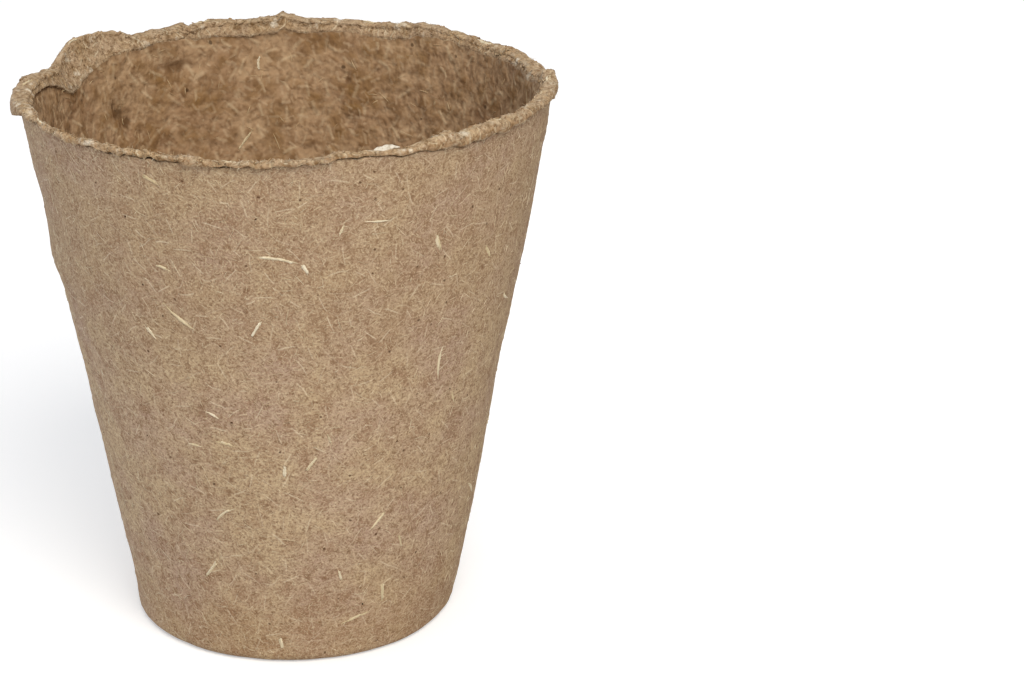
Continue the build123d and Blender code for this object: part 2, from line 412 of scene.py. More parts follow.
@dataclass(frozen=True)
class PotForm:
    """The moulded pot's shape, as in the part's source, with the unevenness that mould and press leave."""

    lip_radius: float
    height: float = 83.7
    upper_band: float = 22.0
    upper_flare: float = 3.3
    foot_radius: float = 24.5
    wall: float = 1.7
    floor: float = 2.0
    foot_rounding: float = 1.7
    inner_rounding: float = 4.0
    foot_ring: float = 7.0
    floor_rise: float = 1.2
    floor_ramp: float = 2.5
    drain_radius: float = 4.0
    lip_depth: float = 0.72
    lip_overhang: float = 0.7
    rim_tilt: float = 0.4
    rim_tilt_bearing: float = 310.0
    rim_wave: float = 0.35
    rim_wave_bearing: float = 85.0
    rim_waves: int = 3
    flap_rise: float = 2.1
    flap_length: float = 17.5
    flap_bearing: float = 142.0
    lip_setback: float = 0.3
    lip_grain: float = 0.55

    outer_ripples = (Ripple(26, 0.22), Ripple(8, 0.10), Ripple(3.0, 0.07), Ripple(1.3, 0.05))
    inner_ripples = (Ripple(30, 0.25), Ripple(9, 0.30), Ripple(3.6, 0.26), Ripple(1.9, 0.15))
    lip_ripples = (Ripple(3.2, 0.12), Ripple(4.2, -0.15, clotted=True), Ripple(1.7, 0.15, clotted=True),
                   Ripple(0.9, 0.10, clotted=True))
    rim_ripples = (Ripple(4.2, 0.26), Ripple(1.8, 0.27), Ripple(1.0, 0.16))
    overhang_ripples = (Ripple(7.0, 0.25), Ripple(2.4, 0.22))
    depth_ripples = (Ripple(9.0, 0.22), Ripple(2.8, 0.20))

    outer_swells = (
        Swell(188, 40, 22, 24, -0.50),
        Swell(189, 66, 16, 7, -0.35),
        Swell(190, 58.6, 10, 2.6, 0.50),
        Swell(191, 62.5, 10, 3.5, 0.22),
        Swell(203, 1.0, 12, 3.0, 0.50),
        Swell(330, 1.0, 12, 3.0, -0.40),
        Swell(350, 78.5, 10, 3.5, 0.25),
        Swell(351, 40, 14, 8, -0.20),
    )
    inner_swells = (
        Swell(137.6, 72.6, 0.7, 1.2, -1.1),
        Swell(136.0, 71.3, 0.7, 1.1, -1.1),
        Swell(134.2, 69.8, 0.8, 1.0, -1.1),
        Swell(125, 69.5, 1.6, 0.6, -1.1),
        Swell(74, 74.5, 0.7, 0.6, -1.1),
        Swell(118, 77.5, 6.0, 0.5, -0.5),
        Swell(105, 79.5, 7.0, 0.5, -0.4),
    )
    lip_marks = (
        LipMark(359.5, 1.8, rise=0.95),
        LipMark(9, 7, rise=-0.7),
        LipMark(28, 11, rise=-0.35),
        LipMark(56, 6, rise=0.4),
        LipMark(65, 7, rise=-0.3),
        LipMark(90, 1.5, rise=0.5),
        LipMark(73, 9, rise=-0.75),
        LipMark(85, 4, rise=-0.3),
        LipMark(78, 30, groove=0.3),
        LipMark(98, 17, fold=1.2, ledge=0.32),
        LipMark(62, 8, fold=0.9, ledge=0.25),
        LipMark(128, 5, rise=-0.4),
        LipMark(137, 5, rise=-0.5),
        LipMark(147, 10.5, fold=4.2),
        LipMark(132, 6, fold=0.9),
        LipMark(168, 9, fold=0.3),
        LipMark(152, 5, rise=-1.9),
        LipMark(160, 6, rise=-0.7),
        LipMark(165, 15, ledge=0.7),
        LipMark(130, 6, ledge=0.25),
        LipMark(172, 6, rise=-0.7, narrowing=-0.4),
        LipMark(183, 6, rise=-1.2),
        LipMark(187, 8, overhang=0.35, depth=1.9, undercut=0.6),
        LipMark(186, 11, skin=0.42),
        LipMark(358, 12, skin=0.32),
        LipMark(142, 14, skin=0.08),
        LipMark(186, 13, calm=0.75),
        LipMark(144, 20, calm=0.65),
        LipMark(290, 4.5, calm=0.5),
        LipMark(314, 24, calm=0.15),
        LipMark(352, 9, calm=0.3),
        LipMark(72, 50, calm=0.5),
        LipMark(215, 15, rise=-0.45, overhang=-0.45, narrowing=0.5),
        LipMark(232, 9, undercut=0.3),
        LipMark(250, 28, rise=-0.2, overhang=-0.3, narrowing=0.3, undercut=0.1),
        LipMark(290, 20, overhang=-0.2),
        LipMark(282, 7, rise=0.4),
        LipMark(313, 14, depth=0.9),
        LipMark(304.5, 1.2, rise=0.35, overhang=0.25),
        LipMark(309, 20, rise=0.3, depth=0.45, undercut=0.35),
        LipMark(317, 1.5, rise=0.35, overhang=0.2),
        LipMark(351, 10, rise=0.55, overhang=0.15, depth=1.2, undercut=0.3),
    )

    @property
    def rim_radius(self) -> float:
        """The wall's outer radius at the lip."""
        return self.lip_radius - self.lip_overhang

    @property
    def shoulder_radius(self) -> float:
        """The wall's outer radius at the shoulder."""
        return self.rim_radius - self.upper_flare

    @property
    def shoulder_height(self) -> float:
        """The height where the wall turns a little steeper."""
        return self.height - self.upper_band

    @property
    def ring_inner_radius(self) -> float:
        """Where the foot ring ends and the floor starts to rise."""
        return self.foot_radius - self.foot_ring

    @property
    def rise_radius(self) -> float:
        """Where the raised middle of the floor is level again."""
        return self.ring_inner_radius - self.floor_ramp

    def cone(self, height: np.ndarray) -> np.ndarray:
        """The plain outer radius at a height.

        Args:
            height: Heights above the ground.

        Returns:
            One radius for each.
        """
        low = self.foot_radius + (self.shoulder_radius - self.foot_radius) * height / self.shoulder_height
        climb = (height - self.shoulder_height) / self.upper_band
        high = self.shoulder_radius + self.upper_flare * climb
        return np.where(height < self.shoulder_height, low, high)

    def outer(self, bearing: np.ndarray, height: np.ndarray) -> np.ndarray:
        """The outer radius with its unevenness.

        Args:
            bearing: Bearings round the pot.
            height: Heights above the ground.

        Returns:
            One radius for each place.
        """
        plain = self.cone(height)
        uneven = lumps(OUTSIDE, polar(plain, bearing, height), self.outer_ripples)
        return plain + uneven + sum(swell.at(bearing, height, plain) for swell in self.outer_swells)

    def inner(self, bearing: np.ndarray, height: np.ndarray) -> np.ndarray:
        """The inner radius with its unevenness.

        Args:
            bearing: Bearings round the pot.
            height: Heights above the ground.

        Returns:
            One radius for each place.
        """
        plain = self.cone(height) - self.wall
        uneven = lumps(INSIDE, polar(plain, bearing, height), self.inner_ripples)
        return plain - uneven - sum(swell.at(bearing, height, plain) for swell in self.inner_swells)

    def mark(self, bearing: np.ndarray, part: str) -> np.ndarray:
        """What the lip's marks add at some bearings to one of its sizes.

        Args:
            bearing: Bearings round the pot.
            part: Which of the marks' values is meant.

        Returns:
            One value for each bearing.
        """
        total = 0
        for mark in self.lip_marks:
            off = turn_from(bearing, mark.bearing) / mark.spread
            total = total + getattr(mark, part) * np.exp(-(off**2))
        return total

    def flap(self, bearing: np.ndarray) -> np.ndarray:
        """How much of the raised flap there is at a bearing, from 0 to 1."""
        chord = 2 * self.lip_radius * np.sin(np.radians(np.abs(turn_from(bearing, self.flap_bearing))) / 2)
        return np.exp(-((chord / (self.flap_length / 2)) ** 4))

    def calm(self, bearing: np.ndarray) -> np.ndarray:
        """How smooth the lip is: zero where it was torn, and towards one where it was pressed or folded."""
        return np.clip(self.mark(bearing, "calm"), 0, 0.9)

    def rim_top(self, bearing: np.ndarray) -> np.ndarray:
        """The height of the lip's top with its ragged edge.

        Args:
            bearing: Bearings round the pot.

        Returns:
            One height for each.
        """
        tilt = self.rim_tilt * np.cos(np.radians(bearing - self.rim_tilt_bearing))
        waves = self.rim_wave * np.cos(np.radians((bearing - self.rim_wave_bearing) * self.rim_waves))
        even = self.height + tilt + waves + self.flap_rise * self.flap(bearing)
        ragged = lumps(RAGGED, polar(self.rim_radius, bearing, self.height), self.rim_ripples)
        return even + ragged + self.mark(bearing, "rise")

    def lip_rows(self, bearing: np.ndarray, rows: int) -> np.ndarray:
        """The lip's cross-section at each bearing, from the outer wall over the top to the inner wall.

        Args:
            bearing: Bearings round the pot.
            rows: How many points a cross-section has.

        Returns:
            Radius and height, with the axes row, bearing and coordinate.
        """
        around = polar(self.rim_radius, bearing, self.height)
        flap = self.flap(bearing)
        top = self.rim_top(bearing)
        depth = self.lip_depth + lumps(DEEP, around, self.depth_ripples) + self.mark(bearing, "depth")
        depth = np.maximum(depth, 0.5)
        reach = self.lip_overhang + lumps(RAGGED, around + self.height, self.overhang_ripples)
        reach = np.maximum(reach + self.mark(bearing, "overhang") + 0.2 * flap, 0.1)
        edge = self.rim_radius + reach
        crease = top - depth
        cut = (0.25 + self.mark(bearing, "undercut")) * (1 - flap)
        inner_edge = self.inner(bearing, top) + self.lip_setback + self.mark(bearing, "narrowing")
        inner_edge = inner_edge + (edge - 0.7 - inner_edge) * flap
        fold = 1.1 + self.mark(bearing, "fold")
        ledge = self.mark(bearing, "ledge")
        groove = self.mark(bearing, "groove")
        wall_low = self.outer(bearing, crease - 1.0)
        wall_mid = self.outer(bearing, crease - 0.35)
        wall_top = self.outer(bearing, crease)
        inner_low = self.inner(bearing, top - fold - 0.9)
        inner_mid = self.inner(bearing, top - fold)
        middle = (edge + inner_edge) / 2
        section = [
            # The wall, and the cut under the lip
            (wall_low, crease - 1.0),
            (wall_mid, crease - 0.35),
            (wall_top, crease - 0.12),
            (wall_top - cut, crease - 0.04),
            (wall_top - cut, crease + 0.04),
            # The lip's outer face and its top
            (edge - 0.15, crease),
            (edge + 0.1, crease + 0.25 * depth),
            (edge + 0.12, top - 0.3 * depth),
            (edge - 0.25, top),
            (middle, top + 0.02),
            # The inner edge with its groove, fold and ledge, and the inner wall
            (inner_edge + 0.25, top),
            (inner_edge - 0.1, top - 0.35),
            (inner_edge + groove, top - 0.7),
            (inner_edge + 0.55 * (inner_mid - inner_edge), top - 0.6 * fold),
            (inner_mid - ledge, top - fold),
            (inner_mid + 0.4 * ledge, top - fold - 0.2),
            (inner_low, top - fold - 0.9),
        ]
        control = np.stack([np.stack(np.broadcast_arrays(*point), axis=-1) for point in section])
        curve = spline_rows(control, rows)
        along = unit(np.gradient(curve, axis=0))
        outward = np.stack([along[..., 1], -along[..., 0]], axis=-1)
        # On a smaller circle the lumps come out longer along the rim than across it, as its torn layers do
        spots = polar(curve[..., 0] - self.lip_grain * self.rim_radius, bearing, curve[..., 1])
        window = np.sin(np.linspace(0, np.pi, rows))[:, None] ** 0.5 * (1 - 0.8 * self.calm(bearing))
        return curve + outward * (window * lumps(RAGGED, spots, self.lip_ripples))[..., None]


OUTSIDE, INSIDE, RAGGED, DEEP, FINE = (Relief(seed) for seed in (11, 12, 13, 14, 15))


@dataclass
class Ring:
    """One ring of points about the axis, with what its place on the pot means to the finish."""

    spots: np.ndarray
    lip: np.ndarray | float = 0.0


@dataclass
class Mesh:
    """Points in millimetres with the faces that join them and values kept at the points."""

    spots: np.ndarray
    faces: list[np.ndarray]
    values: dict[str, np.ndarray]

    def make(self, name: str, material: Material) -> Object:
        """Make the Blender object.

        Args:
            name: The object's name.
            material: Its finish.

        Returns:
            A smooth-shaded mesh object at the origin.
        """
        mesh = bpy.data.meshes.new(name)
        mesh.vertices.add(len(self.spots))
        mesh.vertices.foreach_set("co", (self.spots * MM).astype(np.float32).ravel())
        corners = np.concatenate([face.ravel() for face in self.faces]).astype(np.int32)
        sides = np.concatenate([np.full(len(face), face.shape[1]) for face in self.faces])
        mesh.loops.add(len(corners))
        mesh.loops.foreach_set("vertex_index", corners)
        mesh.polygons.add(len(sides))
        mesh.polygons.foreach_set("loop_start", (np.cumsum(sides) - sides).astype(np.int32))
        mesh.update(calc_edges=True)
        mesh.shade_smooth()
        for label, value in self.values.items():
            kind = "FLOAT_VECTOR" if value.ndim == 2 else "FLOAT"
            field = "vector" if value.ndim == 2 else "value"
            kept = mesh.attributes.new(label, kind, "POINT").data
            kept.foreach_set(field, value.astype(np.float32).ravel())
        mesh.materials.append(material)
        made = bpy.data.objects.new(name, mesh)
        bpy.context.scene.collection.objects.link(made)
        return made


class RingSkin:
    """A closed skin over a loop of rings, whose counts may halve or double from one ring to the next."""

    # Where the skin lies when it is laid flat on a unit square: two strips, with two discs above them
    MARGIN = 0.003
    STRIP_HEIGHT = 0.345
    STRIP_STARTS = (0.004, 0.356)
    DISC_RADIUS = 0.127
    DISC_LEVEL = 0.845
    DISC_CENTRES = (0.2, 0.7)
    HOLE_RADIUS = 2.0

    def __init__(self, rings: list[Ring]) -> None:
        """Join every ring with the next one, and the last with the first.

        Args:
            rings: The rings in order.
        """
        self.rings = rings
        self.starts = np.cumsum([0] + [len(ring.spots) for ring in rings])
        self.quads: list[np.ndarray] = []
        self.triangles: list[np.ndarray] = []
        self.quad_bands: list[np.ndarray] = []
        self.triangle_bands: list[np.ndarray] = []
        for band in range(len(rings)):
            self.join(band)

    def join(self, band: int) -> None:
        """Fill the band between a ring and the next one.

        Args:
            band: The band's number.
        """
        after = (band + 1) % len(self.rings)
        low = self.starts[band] + np.arange(len(self.rings[band].spots))
        high = self.starts[after] + np.arange(len(self.rings[after].spots))
        if len(low) == len(high):
            self.quads.append(np.stack([low, np.roll(low, -1), np.roll(high, -1), high], axis=1))
            self.quad_bands.append(np.full(len(low), band))
            return
        flip = len(low) > len(high)
        fine, coarse = (low, high) if flip else (high, low)
        first, middle, last = fine[0::2], fine[1::2], np.roll(fine[0::2], -1)
        here, there = coarse, np.roll(coarse, -1)
        parts = [(here, middle, first), (here, there, middle), (there, last, middle)]
        if flip:
            parts = [part[::-1] for part in parts]
        self.triangles.extend(np.stack(part, axis=1) for part in parts)
        self.triangle_bands.extend(np.full(len(here), band) for _ in parts)

    def mesh(self) -> Mesh:
        """The skin as one mesh.

        Returns:
            The mesh, which keeps each point's place on the lip.
        """
        lip = np.concatenate([np.zeros(len(ring.spots)) + ring.lip for ring in self.rings])
        spots = np.concatenate([ring.spots for ring in self.rings])
        faces = [np.concatenate(self.quads), np.concatenate(self.triangles)]
        return Mesh(spots, faces, {"lip": lip})

    def paint(self, made: Object, finishes: list[Material], starts: list[int], wrapped: np.ndarray) -> None:
        """Give the faces of each stretch of bands its own finish.

        Args:
            made: The object built from this skin.
            finishes: The finish of each stretch, in order.
            starts: The first band of each stretch.
            wrapped: One for each point where the first finish reaches over the second one.
        """
        made.data.materials.clear()
        for finish in finishes:
            made.data.materials.append(finish)
        bands = np.concatenate(self.quad_bands + self.triangle_bands)
        index = np.searchsorted(starts, bands, side="right") - 1
        first_corner = np.concatenate([faces[:, 0] for faces in self.quads + self.triangles])
        index = np.where((index == 1) & wrapped[first_corner], 0, index)
        made.data.polygons.foreach_set("material_index", index.astype(np.int32))

    def unwrap(self, made: Object, cuts: tuple[int, int, int]) -> None:
        """Lay the skin out flat: two strips for the walls, and two discs for the underside and the floor.

        Args:
            made: The object built from this skin.
            cuts: The bands where the outer strip, the inner strip and the floor disc start.
        """
        outer, inner, floor = cuts
        profile = [self.profile_of(ring) for ring in self.rings]
        gaps = [math.dist(here, there) for here, there in zip(profile, profile[1:])]
        arc = np.concatenate([[0], np.cumsum(gaps), [sum(gaps) + 1]])
        strip_scale = self.STRIP_HEIGHT / max(arc[inner] - arc[outer], arc[floor] - arc[inner])
        disc_scale = self.DISC_RADIUS / (self.HOLE_RADIUS + max(arc[outer], arc[-1] - arc[floor]))
        counts = [len(ring.spots) for ring in self.rings]
        bearing = bearing_of(np.concatenate([ring.spots for ring in self.rings])) % 360
        ring_of = np.repeat(np.arange(len(self.rings)), counts)
        laid = []
        for faces, bands in ((self.quads, self.quad_bands), (self.triangles, self.triangle_bands)):
            corners = np.concatenate(faces)
            band = np.concatenate(bands)[:, None] + np.zeros_like(corners)
            rings = ring_of[corners]
            place = arc[np.where((rings == 0) & (band == len(self.rings) - 1), len(self.rings), rings)]
            turn = bearing[corners]
            turn = np.where((turn.max(1, keepdims=True) - turn > 180), turn + 360, turn)
            across = self.MARGIN + (1 - 2 * self.MARGIN) * turn / 361
            strip = np.where(band < inner, self.STRIP_STARTS[0] + (place - arc[outer]) * strip_scale,
                             self.STRIP_STARTS[1] + (place - arc[inner]) * strip_scale)
            spread = disc_scale * (self.HOLE_RADIUS + np.where(band < outer, place, arc[-1] - place))
            centre = np.where(band < outer, *self.DISC_CENTRES)
            angle = np.radians(turn)
            disc = np.stack([centre + spread * np.cos(angle), self.DISC_LEVEL + spread * np.sin(angle)], -1)
            walls = (band >= outer) & (band < floor)
            laid.append(np.where(walls[..., None], np.stack([across, strip], -1), disc).reshape(-1, 2))
        layer = made.data.uv_layers.new(name="OFBake")
        layer.data.foreach_set("uv", np.concatenate(laid).astype(np.float32).ravel())

    @staticmethod
    def profile_of(ring: Ring) -> tuple[float, float]:
        """The mean radius and the mean height of a ring."""
        return float(np.hypot(ring.spots[:, 0], ring.spots[:, 1]).mean()), float(ring.spots[:, 2].mean())


@dataclass
class PotBody:
    """The pot itself: one moulded piece of peat and wood pulp."""

    form: PotForm
    columns: int = 480
    outer_rows: int = 76
    inner_rows: int = 44
    lip_steps: int = 30
    drain_lip: float = 0.8
    # Millimetres between the last rows of the walls and the first of the lip
    lip_gap: float = 0.4
    inner_lip_gap: float = 0.5
    # Shares of the lip's section: its crest, and how far up it the pressed face reaches and frays
    crest: float = 0.62
    pressed_reach: float = 0.06
    pressed_fray: float = 0.05
    # The flap shows its torn inner side, so its share stays this much below that of the inner wall
    flap_torn: float = 0.3
    drain_ragged = (Ripple(2.0, 0.18), Ripple(0.8, 0.10))
    floor_ripples = (Ripple(12, 0.12), Ripple(3.0, 0.14), Ripple(1.6, 0.08))

    def bearings(self, columns: int) -> np.ndarray:
        """Even bearings round the pot."""
        return np.arange(columns) * 360 / columns

    def flat_ring(self, radius: float, height: float) -> Ring:
        """A ring of the floor or the underside, rough but never lower than the ground.

        Args:
            radius: Its radius.
            height: Its height before it is roughened.

        Returns:
            The ring, with half as many points as the walls have.
        """
        spots = polar(radius, self.bearings(self.columns // 2), height)
        rough = lumps(FINE, spots, self.floor_ripples)
        if height < self.form.floor:
            rough = np.abs(rough) * min(1.0, 0.25 + height)
        spots[:, 2] += rough
        return Ring(spots)

    def flat_rings(self, start: float, end: float, height: float, count: int) -> list[Ring]:
        """Even rings at one height, from one radius to another."""
        return [self.flat_ring(radius, height) for radius in np.linspace(start, end, count)]

    def ramp_rings(self, base: float, shares: tuple[float, ...]) -> list[Ring]:
        """The slope from the raised middle down to the foot ring.

        Args:
            base: The height of the foot ring's face.
            shares: Where the rings lie, as shares of the slope's run.

        Returns:
            Its rings.
        """
        form = self.form
        rings = []
        for share in shares:
            height = base + form.floor_rise * 0.5 * (1 + math.cos(math.pi * share))
            rings.append(self.flat_ring(form.rise_radius + form.floor_ramp * share, height))
        return rings

    def wall_rings(self, face: Callable, low: float, high: np.ndarray, shares: np.ndarray) -> list[Ring]:
        """Rings of a wall's face.

        Args:
            face: Gives the face's radius at a bearing and a height.
            low: The face's lower end.
            high: Its upper end at each bearing.
            shares: Where the rings lie, as shares of the way up.

        Returns:
            The rings, in the order of the shares.
        """
        bearing = self.bearings(self.columns)
        heights = [low + (high - low) * share for share in shares]
        return [Ring(polar(face(bearing, height), bearing, height)) for height in heights]

    def underside(self) -> list[Ring]:
        """From the drain hole out to the foot: the raised middle, its ramp and the flat foot ring.

        Returns:
            Its rings.
        """
        form = self.form
        rings = [self.drain_ring(form.floor_rise)]
        rings += self.flat_rings(form.drain_radius + self.drain_lip, form.rise_radius, form.floor_rise, 10)
        rings += self.ramp_rings(0.0, (0.3, 0.6, 0.85))
        return rings + self.flat_rings(form.ring_inner_radius, form.foot_radius - form.foot_rounding, 0.0, 6)

    def foot_corner(self) -> list[Ring]:
        """The rounded corner between the foot ring and the wall.

        Returns:
            Its rings.
        """
        form = self.form
        bearing = self.bearings(self.columns)
        out = form.outer(bearing, form.foot_rounding)
        rings = []
        for share in (0.2, 0.42, 0.64, 0.84):
            turn = math.pi / 2 * share
            radius = out - form.foot_rounding * (1 - math.sin(turn))
            height = form.foot_rounding * (1 - math.cos(turn))
            rings.append(Ring(polar(radius, bearing, height)))
        return rings

    def outer_wall(self) -> list[Ring]:
        """The outer face from the foot to just under the lip.

        Returns:
            Its rings.
        """
        form = self.form
        high = form.lip_rows(self.bearings(self.columns), self.lip_steps)[0, :, 1] - self.lip_gap
        return self.wall_rings(form.outer, form.foot_rounding, high, np.linspace(0, 1, self.outer_rows))

    def lip(self) -> list[Ring]:
        """The deckle lip, with twice the columns of the walls.

        Returns:
            Its rings.
        """
        bearing = self.bearings(2 * self.columns)
        section = self.form.lip_rows(bearing, self.lip_steps)
        rings = []
        for step, row in enumerate(section):
            share = step / (self.lip_steps - 1)
            lip = np.minimum(share, 1 - self.flap_torn * self.form.flap(bearing))
            rings.append(Ring(polar(row[:, 0], bearing, row[:, 1]), lip))
        return rings

    def inner_wall(self) -> list[Ring]:
        """The inner face from under the lip down to the floor's corner.

        Returns:
            Its rings.
        """
        form = self.form
        bearing = self.bearings(self.columns)
        low = form.floor + form.inner_rounding
        high = form.lip_rows(bearing, self.lip_steps)[-1, :, 1] - self.inner_lip_gap
        rings = self.wall_rings(form.inner, low, high, np.linspace(1, 0, self.inner_rows))
        for share in (0.25, 0.5, 0.75):
            turn = math.pi / 2 * share
            radius = form.inner(bearing, low) - form.inner_rounding * (1 - math.cos(turn))
            height = low - form.inner_rounding * math.sin(turn)
            rings.append(Ring(polar(radius, bearing, height)))
        return rings

    def floor(self) -> list[Ring]:
        """The inner floor from its corner to the drain hole, and the hole's own wall.

        Returns:
            Its rings.
        """
        form = self.form
        corner = float(form.cone(np.array(form.floor))) - form.wall - form.inner_rounding
        top = form.floor + form.floor_rise
        rings = self.flat_rings(corner, form.ring_inner_radius, form.floor, 3)
        rings += self.ramp_rings(form.floor, (0.7, 0.4, 0.15))
        rings += self.flat_rings(form.rise_radius, form.drain_radius + self.drain_lip, top, 10)
        return rings + [self.drain_ring(form.floor_rise + form.floor * share) for share in (1.0, 0.66, 0.33)]

    def drain_ring(self, height: float) -> Ring:
        """A ring of the drain hole's ragged wall.

        Args:
            height: Its height.

        Returns:
            The ring, with a quarter of the walls' points.
        """
        bearing = self.bearings(self.columns // 4)
        even = polar(self.form.drain_radius, bearing, height)
        radius = self.form.drain_radius - lumps(FINE, even, self.drain_ragged)
        return Ring(polar(radius, bearing, height))

    def build(self, pressed: Pulp, torn: Pulp, open_face: Pulp) -> Object:
        """Build the pot and dress it.

        Args:
            pressed: The pulp's face against the mould, outside and below.
            torn: The pulp's face at the deckle lip.
            open_face: The pulp's inner face.

        Returns:
            The pot, standing for the pot_body node.
        """
        walls = self.foot_corner() + self.outer_wall()
        parts = [self.underside(), walls, self.lip(), self.inner_wall(), self.floor()]
        under, outside, lip, inside, _ = [len(part) for part in parts]
        skin = RingSkin([ring for part in parts for ring in part])
        shape = skin.mesh()
        made = shape.make("pot_moulding", pressed.material())
        lip_start = under + outside
        lip_top = lip_start + round(self.lip_steps * self.crest)
        reach = self.pressed_reach + self.form.mark(bearing_of(shape.spots), "skin")
        reach = reach + self.pressed_fray * FINE.at(shape.spots, 0.8)
        finishes = [pressed.material(), torn.material(), open_face.material()]
        skin.paint(made, finishes, [0, lip_start, lip_start + lip - 1], shape.values["lip"] < reach)
        mark_hollows(made)
        skin.unwrap(made, (under, lip_top, lip_start + lip + inside))
        settle(made, Slot.PULP, "pot_body")
        return made


def mark_hollows(made: Object, rounds: int = 6, unit_depth: float = 0.1) -> None:
    """Keep at each point how deep it lies in a hollow, with values below zero where it stands out.

    Args:
        made: The skin.
        rounds: How often the skin is smoothed before it is compared with itself.
        unit_depth: The depth in millimetres that counts as one.
    """
    mesh = made.data
    count = len(mesh.vertices)
    spots, normals = read_rows(mesh.vertices, "co", 3) / MM, read_rows(mesh.vertices, "normal", 3)
    edges = read_rows(mesh.edges, "vertices", 2, np.int32)
    here, there = np.concatenate([edges, edges[:, ::-1]]).T
    near = np.bincount(here, minlength=count)
    smooth = spots.copy()
    for _ in range(rounds):
        total = np.stack([np.bincount(here, smooth[there, axis], count) for axis in range(3)], axis=1)
        smooth = (smooth + total / near[:, None]) / 2
    depth = np.sum((smooth - spots) * normals, axis=1) / unit_depth
    mesh.attributes.new("hollow", "FLOAT", "POINT").data.foreach_set("value", depth.astype(np.float32))


def settle(made: Object, slot: Slot, *stands_for: str) -> None:
    """Tie a piece to the frame and report it.

    Args:
        made: The piece.
        slot: The record's slot that its finish comes from; not used.
        stands_for: The CAD nodes that it replaces.
    """
    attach(made, BODY)
    if stands_for:
        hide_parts(*stands_for)
    LOG.info("%s: %d faces", made.name, len(made.data.polygons))


class Ground:
    """The pot's finished skin, which bits and fibres are seated on."""

    def __init__(self, made: Object) -> None:
        """Read the skin.

        Args:
            made: The finished pot.
        """
        self.tree = BVHTree.FromObject(made, bpy.context.evaluated_depsgraph_get())
        self.spots = read_rows(made.data.vertices, "co", 3) / MM
        self.normals = read_rows(made.data.vertices, "normal", 3)
        self.lip = read_rows(made.data.attributes["lip"].data, "value", 1)[:, 0]

    def torn_places(self, draw: np.random.Generator, count: int, low: float, high: float) -> np.ndarray:
        """Random points of the lip, most of them where it is torn.

        Args:
            draw: The random draw.
            count: How many points are wanted.
            low: The share of the lip's section where the stretch starts.
            high: The share where it ends.

        Returns:
            The points' numbers.
        """
        found = np.flatnonzero((self.lip > low) & (self.lip < high))
        weight = (1 - FORM.calm(bearing_of(self.spots[found]))) ** 2
        return draw.choice(found, count, replace=False, p=weight / weight.sum())

    def land(self, spots: np.ndarray) -> tuple[np.ndarray, np.ndarray]:
        """Drop points on the nearest place of the skin.

        Args:
            spots: Points, with coordinates on the last axis.

        Returns:
            The places on the skin, and the skin's direction there.
        """
        flat = spots.reshape(-1, 3) * MM
        found = [self.tree.find_nearest(Vector(spot))[:2] for spot in flat]
        places = np.array([tuple(place) for place, _ in found]).reshape(spots.shape) / MM
        return places, np.array([tuple(normal) for _, normal in found]).reshape(spots.shape)


def tube_mesh(
    paths: np.ndarray, normals: np.ndarray, radii: np.ndarray, sides: int, tones: np.ndarray
) -> Mesh:
    """Closed thin tubes along many paths at once.

    Args:
        paths: Centre points, with the axes tube, point and coordinate.
        normals: A direction for the top of the tube at each point.
        radii: The tube's radius at each point, or a pair of them, across and upward, on a last axis.
        sides: How many sides a tube has.
        tones: One random value for each tube.

    Returns:
        The tubes as one mesh.
    """
    count, steps = paths.shape[:2]
    along = unit(np.gradient(paths, axis=1))
    across = unit(np.cross(along, normals))
    upward = np.cross(across, along)
    if radii.ndim == 2:
        radii = np.stack([radii, radii], axis=-1)
    turns = np.arange(sides) * 2 * np.pi / sides + np.pi / 2
    ring = np.cos(turns)[:, None] * across[:, :, None] * radii[..., None, :1]
    ring = ring + np.sin(turns)[:, None] * upward[:, :, None] * radii[..., None, 1:]
    spots = (paths[:, :, None] + ring).reshape(-1, 3)
    spots[:, 2] = np.maximum(spots[:, 2], 0)
    index = np.arange(count * steps * sides).reshape(count, steps, sides)
    after = np.roll(index, -1, axis=2)
    walls = np.stack([index[:, :-1], after[:, :-1], after[:, 1:], index[:, 1:]], axis=-1).reshape(-1, 4)
    ends = np.concatenate([index[:, 0, ::-1], index[:, -1]])
    tone = np.repeat(tones, steps * sides)
    length = np.cumsum(np.linalg.norm(np.diff(paths, axis=1, prepend=paths[:, :1]), axis=-1), axis=1)
    length = np.repeat(length.reshape(-1), sides)
    round_it = np.tile(turns, count * steps)
    grain = np.stack([length, round_it, tone * 97.0], axis=1)
    return Mesh(spots, [walls, ends], {"tone": tone, "grain": grain})


